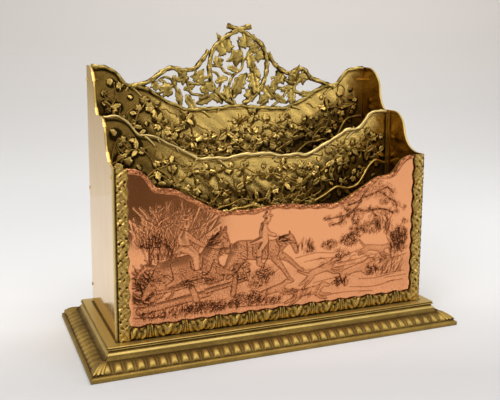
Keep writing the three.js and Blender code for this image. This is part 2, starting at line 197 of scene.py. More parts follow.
def add_tube(shell, path, radius, sides=10, bark=0.0, phase=0.0, wear_and_shade=None, outlined=False):
    """A round bar along a path in 3D, with closed ends. radius is one number or one for each point.

    An outlined bar has painted shade along its flanks, where it turns away from the front. Any other bar is
    lighter on its front and darker towards its back, partly worn bright and partly painted light.
    """
    path = np.asarray(path, float)
    count = len(path)
    tangent = np.gradient(path, axis=0)
    tangent /= np.linalg.norm(tangent, axis=1)[:, None] + 1e-9
    side = np.cross(tangent, (0, 1, 0))
    side /= np.linalg.norm(side, axis=1)[:, None] + 1e-9
    up = np.cross(side, tangent)
    angle = np.linspace(0, 2 * math.pi, sides, endpoint=False)[None, :]
    along = np.concatenate([[0], np.cumsum(np.linalg.norm(np.diff(path, axis=0), axis=1))])[:, None]
    ridges = np.sin(3 * angle + 0.5 * along + phase) + 0.6 * np.sin(5 * angle - 1.3 * along + 2 * phase)
    rough = 1 + bark * (ridges + 0.8 * np.sin(0.9 * along + 3 * phase)
                        + 0.5 * np.sin(2.3 * along + angle + phase))
    r = np.broadcast_to(np.asarray(radius, float), (count,))[:, None] * rough
    normal = np.cos(angle)[..., None] * side[:, None, :] + np.sin(angle)[..., None] * up[:, None, :]
    verts = (path[:, None, :] + r[..., None] * normal).reshape(-1, 3)
    verts = np.vstack([verts, path[:1], path[-1:]])
    caps = end_caps(count, sides)
    caps[:sides] = caps[:sides, ::-1]
    if wear_and_shade is None:
        # Painted light: dark flanks on an outlined bar; on any other, the front worn and painted lighter,
        # the back painted darker.
        if outlined:
            facing = 0.16 + 0.66 * np.abs(normal[..., 1]) ** 1.4 + 1.2 * (rough - 1)
        else:
            facing = 0.45 - 0.75 * normal[..., 1] + 0.8 * (rough - 1)
        facing = np.clip(facing, 0.2, 1).ravel()
        wear_and_shade = np.concatenate([facing, [0.5, 0.5]])
    shell.add(verts, [grid_faces(count, sides, wrap_cols=True), caps], wear_and_shade)


def taper(count, start, end):
    """Radii from start to end for a bar with count points."""
    return np.linspace(start, end, count)


def add_ball(shell, centre, radius):
    """A small berry, squashed a little against its ground."""
    rings, sides = 5, 8
    polar = np.linspace(0, math.pi, rings + 2)[1:-1][:, None]
    around = np.linspace(0, 2 * math.pi, sides, endpoint=False)[None, :]
    x = np.sin(polar) * np.cos(around)
    z = np.sin(polar) * np.sin(around)
    y = np.broadcast_to(-np.cos(polar), x.shape)
    verts = np.stack([x, 0.8 * y, z], axis=-1).reshape(-1, 3)
    verts = np.vstack([verts, [[0, -0.8, 0], [0, 0.8, 0]]]) * radius + centre
    # Lighter on the front and darker towards the back: partly worn bright, partly painted light.
    wear_and_shade = np.concatenate([np.clip(0.5 - 0.6 * y, 0.2, 1).ravel(), [1, 0]])
    shell.add(verts, [grid_faces(rings, sides, wrap_cols=True), end_caps(rings, sides)], wear_and_shade)


# ---------------------------------------------------------------- leaves

def leaf_radius(kind, angle):
    """Distance from the middle to the edge of a leaf about one unit long that points along angle 0."""
    a = np.abs((angle + math.pi) % (2 * math.pi) - math.pi)
    if kind == "ivy":
        lobes = 0.22 * bell(a, 0, 0.36) + 0.16 * bell(a, 1.1, 0.36) + 0.10 * bell(a, 2.15, 0.36)
        return 0.33 + lobes + 0.025 * np.cos(11 * a) - 0.12 * bell(a, math.pi, 0.3)
    if kind == "maple":
        lobes = 0.27 * bell(a, 0, 0.28) + 0.21 * bell(a, 0.95, 0.26) + 0.14 * bell(a, 1.9, 0.28)
        return 0.30 + lobes + 0.03 * np.cos(13 * a) - 0.08 * bell(a, math.pi, 0.3)
    if kind == "oak":
        egg = 0.56 / np.sqrt(np.cos(a) ** 2 + (2.0 * np.sin(a)) ** 2)
        return egg * (1 + 0.16 * np.cos(8.5 * a))
    egg = 0.56 / np.sqrt(np.cos(a) ** 2 + (2.2 * np.sin(a)) ** 2)
    return egg * (1 + 0.04 * np.cos(7 * a))


LEAF_KINDS = ("ivy", "maple", "oak", "vine")


def leaf_template(kind, variant, around=36, rings=5):
    """Front of a thin, creased leaf as (u, v, height) rows from the middle outwards, and its wear."""
    angle = np.linspace(0, 2 * math.pi, around, endpoint=False)[None, :]
    rho = (np.linspace(0, 1, rings + 1)[1:] ** 0.8)[:, None]
    ragged = 1 + 0.09 * np.sin(5 * angle + 2.1 * variant) + 0.08 * np.sin(9 * angle + 1.3 * variant)
    r = rho * leaf_radius(kind, angle) * ragged
    u, v = r * np.cos(angle), r * np.sin(angle)
    crease = np.exp(-(v / 0.04) ** 2) * (1 - rho ** 4)
    height = 0.05 * (1 - rho ** 6) - 0.03 * crease
    side_veins = bell(np.abs((angle + math.pi) % (2 * math.pi) - math.pi), 0.95, 0.14) * (1 - rho ** 3)
    wear_and_shade = 0.98 - 0.34 * crease - 0.3 * side_veins - 0.6 * rho ** 9
    return np.stack([u, v, height], axis=-1), wear_and_shade


LEAF_VARIANTS = 4
TEMPLATES = {(kind, variant): leaf_template(kind, variant)
             for kind in LEAF_KINDS for variant in range(LEAF_VARIANTS)}
BACK_WEAR = 0.3


def add_leaf(shell, kind, centre, length, heading, pitch=0.0, roll=0.0, thickness=0.9, curl=0.0, fold=0.0,
             rub_and_shade=1.0, deepest=1e3):
    """A leaf that faces -Y. heading is in the x-z plane; pitch lifts its tip and roll one side, in radians.

    fold raises both halves from the midrib, rub_and_shade scales the leaf's values, worn tone and painted
    shade alike, and nothing reaches behind y = deepest.
    """
    front, wear_and_shade = TEMPLATES[kind, int(abs(7 * centre[0] + 3 * centre[2])) % LEAF_VARIANTS]
    rings, around = wear_and_shade.shape
    flat = front.reshape(-1, 3) * length
    flat[:, 2] += fold * np.abs(flat[:, 1]) - curl * (flat[:, 0] / length) ** 2 * length
    rim = front[-1] * length
    rim[:, 2] = flat[-around:, 2] - thickness
    rim[:, :2] *= 0.93
    middle = np.array([[0, 0, 0.03 * length], [0, 0, -thickness]])
    local = np.vstack([flat, rim, middle])
    cp, sp, cr, sr = math.cos(pitch), math.sin(pitch), math.cos(roll), math.sin(roll)
    u, v, w = local.T
    u, w = u * cp - w * sp, u * sp + w * cp
    v, w = v * cr - w * sr, v * sr + w * cr
    ch, sh = math.cos(heading), math.sin(heading)
    y = np.minimum(centre[1] - w, deepest)
    verts = np.stack([centre[0] + u * ch - v * sh, y, centre[2] + u * sh + v * ch], axis=1)
    values = rub_and_shade * np.concatenate([wear_and_shade.ravel(), np.full(around, BACK_WEAR), [0.6, BACK_WEAR]])
    faces = [grid_faces(rings + 1, around, wrap_cols=True), end_caps(rings + 1, around)]
    shell.add(verts, faces, values)


# ---------------------------------------------------------------- outline shared by the panels

# Half of the top edge, as (distance from the middle, drop below the end height).
TOP_EDGE = [
    (118, 0), (114, 0.6), (109, 3), (105, 7.2), (101.5, 11.8), (98, 14.6), (92, 15.6), (86, 16.3),
    (79, 19.8),
    (71, 24.2), (63, 28.8), (55, 32.6), (47, 35.8), (38, 35.4), (28, 35.6), (18, 34.8), (8, 33.4),
    (0, 33.4),
]
EDGE_CURVE = smooth_curve([(-127.5, 0), *[(-x, drop) for x, drop in TOP_EDGE],
                           *[(x, drop) for x, drop in TOP_EDGE[-2::-1]], (127.5, 0)], 1.0)


def edge_height(x, end_height):
    return end_height - np.interp(x, EDGE_CURVE[:, 0], EDGE_CURVE[:, 1])


def add_sheet(shell, half_width, bottom, end_height, rear, thickness, columns, rows, relief, wear_and_shade):
    """A closed sheet with the panels' top edge. relief(x, z) is how far its front stands forward, in mm."""
    x = np.linspace(-half_width, half_width, columns)
    t = np.linspace(0, 1, rows)[:, None]
    z = bottom + t ** 0.8 * (edge_height(x, end_height) - bottom)
    field = Relief(np.broadcast_to(x, z.shape), z)
    field.lift = relief(field.x, z)
    field.wear_and_shade = wear_and_shade(field.x, z)
    add_field(shell, field, rear - thickness, rear)


# ---------------------------------------------------------------- materials

def new_material(name):
    material = bpy.data.materials.new(name)
    material.use_nodes = True
    tree = material.node_tree
    return material, tree, tree.nodes["Principled BSDF"]


def in_object_space(tree, kind):
    """A new node that takes object coordinates as its vector."""
    node = tree.nodes.new(kind)
    tree.links.new(tree.nodes.new("ShaderNodeTexCoord").outputs["Object"], node.inputs["Vector"])
    return node


def object_axes(tree):
    """The object coordinates x, y and z, as Values."""
    return [Value(tree, socket) for socket in in_object_space(tree, "ShaderNodeSeparateXYZ").outputs]


def texture(tree, kind, scale, output="Fac", **settings):
    """A procedural texture's output, in object space. scale is in repeats per metre."""
    node = in_object_space(tree, kind)
    node.inputs["Scale"].default_value = scale
    for key, value in settings.items():
        node.inputs[key].default_value = value
    return Value(tree, node.outputs[output])


def stretched_noise(tree, scale, detail, stretch):
    mapping = in_object_space(tree, "ShaderNodeMapping")
    mapping.inputs["Scale"].default_value = stretch
    noise = tree.nodes.new("ShaderNodeTexNoise")
    noise.inputs["Scale"].default_value = scale
    noise.inputs["Detail"].default_value = detail
    tree.links.new(mapping.outputs["Vector"], noise.inputs["Vector"])
    return Value(tree, noise.outputs["Fac"])


def ramp(tree, source, stops):
    """A colour ramp over (place, value) stops, where a value is a colour or one number for a grey."""
    node = tree.nodes.new("ShaderNodeValToRGB")
    plug(tree, node.inputs["Fac"], source)
    elements = node.color_ramp.elements
    while len(elements) < len(stops):
        elements.new(0.5)
    for element, (place, colour) in zip(elements, stops):
        element.position = place
        element.color = (*colour, 1) if isinstance(colour, tuple) else (colour, colour, colour, 1)
    return Value(tree, node.outputs["Color"])


def plug(tree, socket, value):
    """Sets a socket to a number or a colour, or links a Value or a socket to it."""
    if isinstance(value, (int, float)):
        socket.default_value = value
    elif isinstance(value, tuple):
        socket.default_value = (*value, 1)
    else:
        tree.links.new(getattr(value, "socket", value), socket)


class Value:
    """A number in a material's node tree, whose arithmetic adds math nodes."""

    def __init__(self, tree, socket):
        self.tree, self.socket = tree, socket

    def math(self, operation, second, first=None):
        node = self.tree.nodes.new("ShaderNodeMath")
        node.operation = operation
        plug(self.tree, node.inputs[0], self if first is None else first)
        plug(self.tree, node.inputs[1], second)
        return Value(self.tree, node.outputs[0])

    def __add__(self, other):
        return self.math("ADD", other)

    def __radd__(self, other):
        return self.math("ADD", self, other)

    def __sub__(self, other):
        return self.math("SUBTRACT", other)

    def __mul__(self, other):
        return self.math("MULTIPLY", other)

    def __truediv__(self, other):
        return self.math("DIVIDE", other)

    def __gt__(self, other):
        return self.math("GREATER_THAN", other)


def mix_colour(tree, factor, first, second, blend="MIX"):
    node = tree.nodes.new("ShaderNodeMix")
    node.data_type = "RGBA"
    node.blend_type = blend
    for number, value in ((0, factor), (6, first), (7, second)):
        plug(tree, node.inputs[number], value)
    return Value(tree, node.outputs[2])


def vertex_value(tree, name):
    node = tree.nodes.new("ShaderNodeAttribute")
    node.attribute_name = name
    return Value(tree, node.outputs["Fac"])


def add_bump(tree, shader, height, strength, distance):
    node = tree.nodes.new("ShaderNodeBump")
    node.inputs["Strength"].default_value = strength
    node.inputs["Distance"].default_value = distance
    plug(tree, node.inputs["Height"], height)
    plug(tree, shader.inputs["Normal"], node.outputs["Normal"])


def metal(name, dark, mid, bright, rough=(0.5, 0.3, 0.18), mottle=90, bump=0.3, stipple=False, even=None,
          etched=False, stain_depth=0.5):
    """Worn metal with painted light: patina and painted shade where wear_and_shade is low, worn bright
    metal and painted light where it is high, with mottling and fine grain.

    wear_and_shade comes from the mesh, or is the same all over where even is given, as on a CAD node.
    """
    material, tree, shader = new_material(name)
    if even is None:
        wear_and_shade = vertex_value(tree, "wear_and_shade")
    else:
        wear_and_shade = even
    stain = texture(tree, "ShaderNodeTexNoise", mottle, Detail=6, Roughness=0.65)
    fine = texture(tree, "ShaderNodeTexNoise", 900, Detail=4, Roughness=0.6)
    level = wear_and_shade + (stain - 0.5) * stain_depth + (fine - 0.5) * 0.35
    if etched:
        lines = texture(tree, "ShaderNodeTexNoise", 1250, Detail=2, Roughness=0.5)
        cut = ramp(tree, lines, [(0.44, 1.0), (0.58, 0.0)])
        level = level - cut * vertex_value(tree, "etch")
    colour = ramp(tree, level, [(0.12, dark), (0.45, mid), (0.85, bright)])
    plug(tree, shader.inputs["Base Color"], colour)
    roughness = ramp(tree, level, [(0.12, rough[0]), (0.45, rough[1]), (0.85, rough[2])])
    plug(tree, shader.inputs["Roughness"], roughness)
    shader.inputs["Metallic"].default_value = 1.0
    height = fine
    if stipple:
        dots = texture(tree, "ShaderNodeTexVoronoi", 1050, output="Distance")
        pit = ramp(tree, dots, [(0.1, 0.35), (0.5, 1.0)])
        plug(tree, shader.inputs["Base Color"], mix_colour(tree, 0.75, colour, pit, "MULTIPLY"))
        height = height + pit * 2.0
    add_bump(tree, shader, height, bump, 0.00025)
    return material


def polished_sheet(inner, outer, front):
    """Mirror-polished sheet brass, slightly wavy, with faint vertical draw lines and a few stains.

    Nearer the middle than inner, in metres along x, it is darker: tarnish on the inside of a plate, and
    painted shade as a line along the plate's edge beside the stile. Up to outer it is the plate's brushed
    edge, and so is the outer face in front of the given y.
    """
    material, tree, shader = new_material("polished_brass")
    streaks = stretched_noise(tree, 220, 5, (1, 1, 0.04))
    stain = texture(tree, "ShaderNodeTexNoise", 16, Detail=7, Roughness=0.7)
    level = streaks * 0.4 + stain * 0.6
    sheet = ramp(tree, level, [(0.36, (0.76, 0.52, 0.25)), (0.64, (0.83, 0.59, 0.31))])
    x, y, _ = object_axes(tree)
    edge = ramp(tree, level, [(0.36, (0.58, 0.41, 0.11)), (0.62, (0.74, 0.55, 0.20))])
    # Darker inside: tarnish, and painted shade where it shows as a line by the stile.
    inside_tarnish_and_shade = ramp(tree, level, [(0.36, (0.23, 0.118, 0.014)), (0.62, (0.41, 0.225, 0.036))])
    side = x.math("ABSOLUTE", 0.0)
    is_outside = (side > outer) * (y > front)
    is_edge = side > inner
    colour = mix_colour(tree, is_edge, inside_tarnish_and_shade, edge)
    plug(tree, shader.inputs["Base Color"], mix_colour(tree, is_outside, colour, sheet))
    mirror = ramp(tree, level, [(0.36, 0.16), (0.6, 0.07)])
    rougher = mix_colour(tree, is_edge, (0.2, 0.2, 0.2), (0.5, 0.5, 0.5))
    plug(tree, shader.inputs["Roughness"], mix_colour(tree, is_outside, rougher, mirror))
    shader.inputs["Metallic"].default_value = 1.0
    wavy = texture(tree, "ShaderNodeTexNoise", 14, Detail=1)
    add_bump(tree, shader, wavy, 0.25, 0.0012)
    return material


def plain_material(name, first, second, scale, roughness, metallic=0.0, bump=0.4, stretch=(1, 1, 1)):
    """Two-tone noise material for wood, baize and steel."""
    material, tree, shader = new_material(name)
    noise = stretched_noise(tree, scale, 6, stretch)
    plug(tree, shader.inputs["Base Color"], ramp(tree, noise, [(0.35, first), (0.65, second)]))
    shader.inputs["Roughness"].default_value = roughness
    shader.inputs["Metallic"].default_value = metallic
    add_bump(tree, shader, noise, bump, 0.0004)
    return material


CAST_DARK = (0.034, 0.020, 0.005)
CAST_MID = (0.37, 0.226, 0.050)
CAST_BRIGHT = (0.82, 0.565, 0.16)
BASE_DARK = (0.13, 0.078, 0.022)
BASE_MID = (0.33, 0.215, 0.052)
BASE_BRIGHT = (0.66, 0.475, 0.15)
MATERIALS = {
    "leaves": metal("cast_brass_leaves", CAST_DARK, CAST_MID, CAST_BRIGHT, rough=(0.6, 0.42, 0.33),
                    bump=0.16),
    "ground": metal("cast_brass_ground", CAST_DARK, CAST_MID, CAST_BRIGHT, rough=(0.55, 0.34, 0.22),
                    bump=0.2, stipple=True),
    # The crest's copy of the cast brass is darker: painted shade, holding down the light on its tops.
    "crest": metal("cast_brass_crest", CAST_DARK, (0.21, 0.136, 0.026), (0.57, 0.405, 0.11),
                   rough=(0.55, 0.42, 0.34),
                   mottle=170, bump=0.25, stain_depth=2.2),
    # A paler copy of the cast brass: painted light on the divider's rim.
    "rim": metal("cast_brass_rim", CAST_DARK, (0.28, 0.185, 0.05), (0.62, 0.455, 0.17),
                 rough=(0.6, 0.46, 0.38)),
    "frame": metal("cast_brass_frame", CAST_DARK, (0.29, 0.176, 0.037), (0.55, 0.365, 0.105),
                   rough=(0.6, 0.42, 0.34),
                   mottle=330, stain_depth=0.9),
    "base": metal("base_brass", BASE_DARK, BASE_MID, BASE_BRIGHT, rough=(0.6, 0.5, 0.44), mottle=60),
    "lining": metal("lining_brass", BASE_DARK, BASE_MID, BASE_BRIGHT, rough=(0.5, 0.32, 0.24), even=0.5),
    "strip": metal("strip_brass", CAST_DARK, CAST_MID, CAST_BRIGHT, rough=(0.5, 0.36, 0.28), even=0.45),
    "fitting": metal("fitting_brass", CAST_DARK, CAST_MID, CAST_BRIGHT, rough=(0.5, 0.35, 0.25), even=0.62),
    "copper": metal("copper", (0.070, 0.022, 0.008), (0.56, 0.205, 0.080), (1.0, 0.438, 0.198),
                    rough=(0.5, 0.32, 0.10), mottle=45, bump=0.04, etched=True),
    "polished": polished_sheet(0.1285, 0.1298, -0.0422),
    "steel": plain_material("steel", (0.30, 0.28, 0.26), (0.42, 0.40, 0.37), 300, 0.4, metallic=1.0),
    "wood": plain_material("wood", (0.16, 0.08, 0.035), (0.30, 0.17, 0.08), 60, 0.65, stretch=(0.08, 1, 1)),
    "baize": plain_material("baize", (0.03, 0.07, 0.035), (0.06, 0.12, 0.06), 1500, 0.95, bump=0.8),
}


# ---------------------------------------------------------------- base

OVOLO_ROWS = 20
LOBE_PITCH = 8.2
LOBE_SAMPLES = 20
FOOT_OUT = 23  # how far the foot stands out from the line that the moulding profiles are measured from


def ovolo(t):
    """The gadroons' mean curve from the fillet (t = 0) up to the top (t = 1), as (out, up)."""
    low, high = np.array((20.6, 4.3)), np.array((11.6, 9.7))
    chord = low + t[:, None] * (high - low)
    outward = np.array((0.52, 0.85))
    return chord + 1.0 * (4 * t * (1 - t))[:, None] * outward, outward


def gadroon_height(along, t):
    """Height of the drop-shaped lobes and of the thin beads between them, over the ovolo."""
    phase = (along / LOBE_PITCH) % 1.0 - 0.5
    span = unit((t - 0.03) / 0.93)
    half = 0.32 - 0.03 * span
    rounded = unit(1 - np.abs(phase / half) ** 3.0) ** 0.5
    swell = unit(np.sin(math.pi * span ** 0.6)) ** 0.3
    lobe = 1.1 * rounded * swell
    bead_half = 0.055
    distance = (0.5 - np.abs(phase)) / bead_half
    bead = 0.6 * np.sqrt(unit(1 - distance ** 2)) * unit(np.sin(math.pi * t)) ** 0.3
    return np.maximum(lobe, bead) - 0.5


def profile_length(shell, profile, face_distance, half_length, stations, wear_and_shade, offset=None):
    """Sweeps a closed (out, up) profile along +x with 45 degree mitres; the piece faces -Y."""
    profile = np.asarray(profile, float)
    out, up = profile.T
    limit = half_length + out - 0.2
    x = np.clip(stations[:, None], -limit[None, :], limit[None, :])
    shift = offset(stations[:, None]) if offset else np.zeros((1, len(profile), 2))
    y = -(face_distance + out[None, :] + shift[..., 0])
    z = up[None, :] + shift[..., 1]
    y, z = np.broadcast_to(y, x.shape), np.broadcast_to(z, x.shape)
    verts = np.stack([x, y, z], axis=-1).reshape(-1, 3)
    count = len(profile)
    middle = np.stack([verts[:count].mean(0), verts[-count:].mean(0)])
    values = wear_and_shade(stations)
    faces = [grid_faces(len(stations), count, wrap_cols=True), end_caps(len(stations), count)]
    shell.add(np.vstack([verts, middle]), faces, np.concatenate([values.ravel(), [0.2, 0.2]]))


COVE_WEAR = (0.14, 0.14, 0.18, 0.24, 0.32, 0.42, 0.4)


def gadroon_length(shell, face_distance, half_length):
    t = np.linspace(0, 1, OVOLO_ROWS)
    curve, outward = ovolo(t)
    foot = [(3, 0), (22.6, 0), (23, 0.4), (23, 2.5), (22.7, 3.1), (22.1, 3.4), (21.6, 3.6), (21.5, 4.0),
            (21.0, 4.1)]
    head = [(11.3, 9.75), (10.7, 9.95), (10.15, 10.35), (9.7, 10.9), (9.4, 11.6), (9.25, 12.3), (3, 12.3)]
    profile = np.vstack([foot, curve, head])
    reach = half_length + FOOT_OUT
    lobes = 2 * round(reach / LOBE_PITCH)
    stations = np.linspace(-reach, reach, lobes * LOBE_SAMPLES + 1)
    ratio = LOBE_PITCH * lobes / (2 * reach)
    start = len(foot)

    def relief(x):
        return gadroon_height((x + reach) * ratio, t[None, :])

    def offset(x):
        shift = np.zeros((len(x), len(profile), 2))
        shift[:, start:start + OVOLO_ROWS] = relief(x)[..., None] * outward
        return shift

    def wear_and_shade(x):
        values = np.full((len(x), len(profile)), 0.42)
        # Lobes are lighter where their relief is high, as worn metal, and low down, as a painted highlight.
        painted_lobe_highlight = bell(t[None, :], 0.2, 0.36)
        body = 0.14 + (0.08 + 0.33 * painted_lobe_highlight) * (relief(x[:, None]) + 0.5) ** 1.3
        values[:, start:start + OVOLO_ROWS] = unit(body)
        values[:, 5:start - 3] = 0.34
        values[:, start - 2:start] = 0.2
        values[:, start + OVOLO_ROWS:] = COVE_WEAR
        return values

    profile_length(shell, profile, face_distance, half_length, stations, wear_and_shade, offset)


FLARE_PROFILE = [(2, 12.4), (9.2, 12.4), (9.3, 12.6), (8.95, 13.05), (8.5, 13.5), (7.95, 14.0),
                 (7.35, 14.5),
                 (6.8, 14.85), (6.5, 15.1), (6.9, 15.35), (7.9, 15.65), (2, 15.65)]
# Tone of each row of the flare; the dark rows just under the deck's lip are its painted shadow.
FLARE_WEAR_AND_SHADE = (0.35, 0.4, 0.6, 0.72, 0.76, 0.72, 0.6, 0.3, 0.1, 0.4, 0.6, 0.5)


def add_slab(shell, front, rear, wear_and_shade):
    """A closed plate between two equal grids of points; wear is given for the front one."""
    rows, columns = wear_and_shade.shape
    n = rows * columns
    edge = grid_rim(rows, columns)
    following = np.roll(edge, -1)
    rim = np.stack([edge, n + edge, n + following, following], axis=1)
    faces = [grid_faces(rows, columns), grid_faces(rows, columns, start=n)[:, ::-1], rim]
    values = np.concatenate([wear_and_shade.ravel(), np.zeros(n)])
    shell.add(np.vstack([front.reshape(-1, 3), rear.reshape(-1, 3)]), faces, values)


def corner_leaf(shell, half_x, half_y, side_x, side_y):
    """The acanthus leaf that wraps a mitre of the gadroons, with five toes over the fillet."""
    rows, columns = 16, 41
    s = np.linspace(-1, 1, columns)[None, :]
    t = np.linspace(0, 1, rows)[:, None]
    toes = np.abs(np.cos(2.5 * math.pi * s))
    t = t + (1 - t) * 0.10 * (1 - toes)
    curve, outward = ovolo(t.ravel())
    out, up = curve[:, 0].reshape(t.shape), curve[:, 1].reshape(t.shape)
    spread = np.abs(s) * (2.0 + 5.4 * (1 - t) ** 0.7)
    turn = unit(0.5 + 2.0 * s)

    def surface(lift):
        x = half_x + out + lift * outward[0] * unit(2 - 2 * turn) - np.where(s > 0, spread, 0)
        y = half_y + out + lift * outward[0] * unit(2 * turn) - np.where(s < 0, spread, 0)
        return np.stack([side_x * x, side_y * y, up + lift * outward[1]], axis=-1)

    ribs = 0.32 * (toes - 0.5) * (1.1 - t)
    lift = 0.55 + 0.65 * np.sqrt(1 - s ** 2) + ribs + 0.25 * np.exp(-(t / 0.12) ** 2)
    wear_and_shade = unit(0.26 + 0.30 * toes * (1.2 - t) + 0.10 * (1 - np.abs(s)))
    add_slab(shell, surface(lift), surface(lift - 1.4), wear_and_shade)


def turn_shell(shell, quarter_turns):
    """Turns a shell's newest part about +Z, from facing -Y to its own side."""
    angle = quarter_turns * math.pi / 2
    c, s = math.cos(angle), math.sin(angle)
    x, y, z = shell.verts[-1].T
    shell.verts[-1] = np.stack([x * c - y * s, x * s + y * c, z], axis=1)


def make_mouldings():
    half_depth = -corners("gadroon_moulding_front")[0][1] - FOOT_OUT
    half_width = corners("gadroon_moulding_right")[1][0] - FOOT_OUT
    for side, turns, distance, half in (("front", 0, half_depth, half_width),
                                        ("right", 1, half_width, half_depth),
                                        ("back", 2, half_depth, half_width),
                                        ("left", 3, half_width, half_depth)):
        lower = Shell()
        gadroon_length(lower, distance, half)
        turn_shell(lower, turns)
        if side in ("front", "back"):
            for side_x in (-1, 1):
                corner_leaf(lower, half_width, half_depth, side_x, -1 if side == "front" else 1)
        make_piece(f"gadroons_{side}", lower, MATERIALS["base"],
                   (f"gadroon_moulding_{side}",), sharp=50)
        upper = Shell()
        stations = np.linspace(-half - 10, half + 10, 60)
        profile_length(upper, FLARE_PROFILE, distance, half, stations,
                       lambda x: np.tile(FLARE_WEAR_AND_SHADE, (len(x), 1)))
        turn_shell(upper, turns)
        make_piece(f"flare_{side}", upper, MATERIALS["base"], (f"scotia_moulding_{side}",),
                   sharp=50)


def make_deck():
    """The deck plate with its bevelled edge."""
    _, high = corners("deck_plate")
    # Rings as (inset, height, rub_and_shade); the last two, at the foot of the box, are painted dark as the
    # shade in the joint.
    section = [(-0.6, 15.8, 0.2), (-0.1, 15.95, 0.45), (0.0, 16.4, 0.6), (-0.2, 16.7, 0.55),
               (-1.2, 16.85, 0.12),
               (-1.25, 17.15, 0.1), (-0.5, 17.3, 0.35), (-0.4, 17.75, 0.55), (-0.8, 18.12, 0.62),
               (-1.6, 18.2, 0.95),
               (-6.9, 18.2, 0.95), (-8.0, 18.2, 0.12), (-9.2, 18.2, 0.05)]
    shell = Shell()
    columns, rows = 90, 50
    rings = []
    for inset, height, rub_and_shade in section:
        hx, hy = high[0] + inset, high[1] + inset
        bottom = np.stack([np.linspace(-hx, hx, columns), np.full(columns, -hy)], axis=1)[:-1]
        right = np.stack([np.full(rows, hx), np.linspace(-hy, hy, rows)], axis=1)[:-1]
        outline = np.vstack([bottom, right, -bottom, -right])
        rings.append(np.column_stack([outline, np.full(len(outline), height)]))
    count = len(rings[0])
    verts = np.vstack([*rings, [[0, 0, 15.8], [0, 0, 18.2]]])
    wear_and_shade = np.concatenate([np.repeat([rub_and_shade for inset, height, rub_and_shade in section], count), [0.4, 0.3]])
    faces = [grid_faces(len(section), count, wrap_cols=True), end_caps(len(section), count)[:, ::-1]]
    shell.add(verts, faces, wear_and_shade)
    make_piece("deck", shell, MATERIALS["base"], ("deck_plate",), sharp=30)


# ---------------------------------------------------------------- cast panels

def scatter(rng, count, low, high, spacing, accept):
    """Random points in (x, drop below the edge), no closer than spacing."""
    kept = np.zeros((0, 2))
    for x, drop in zip(rng.uniform(-121, 121, count), rng.uniform(low, high, count)):
        if not accept(x, drop):
            continue
        if len(kept) and (np.hypot(kept[:, 0] - x, kept[:, 1] - drop) < spacing).any():
            continue
        kept = np.vstack([kept, (x, drop)])
    return kept


def shading(x, drop):
    """Painted shade and reflection on a panel: painted shade low down between the panels and in the right
    corner, and a painted reflection of the dark in front at the left end.
    """
    deep = unit((drop - 26) / 16)
    left = unit((-70 - x) / 22)
    corner = unit((x - 42) / 22) * unit((drop - 14) / 12)
    return deep, left, corner


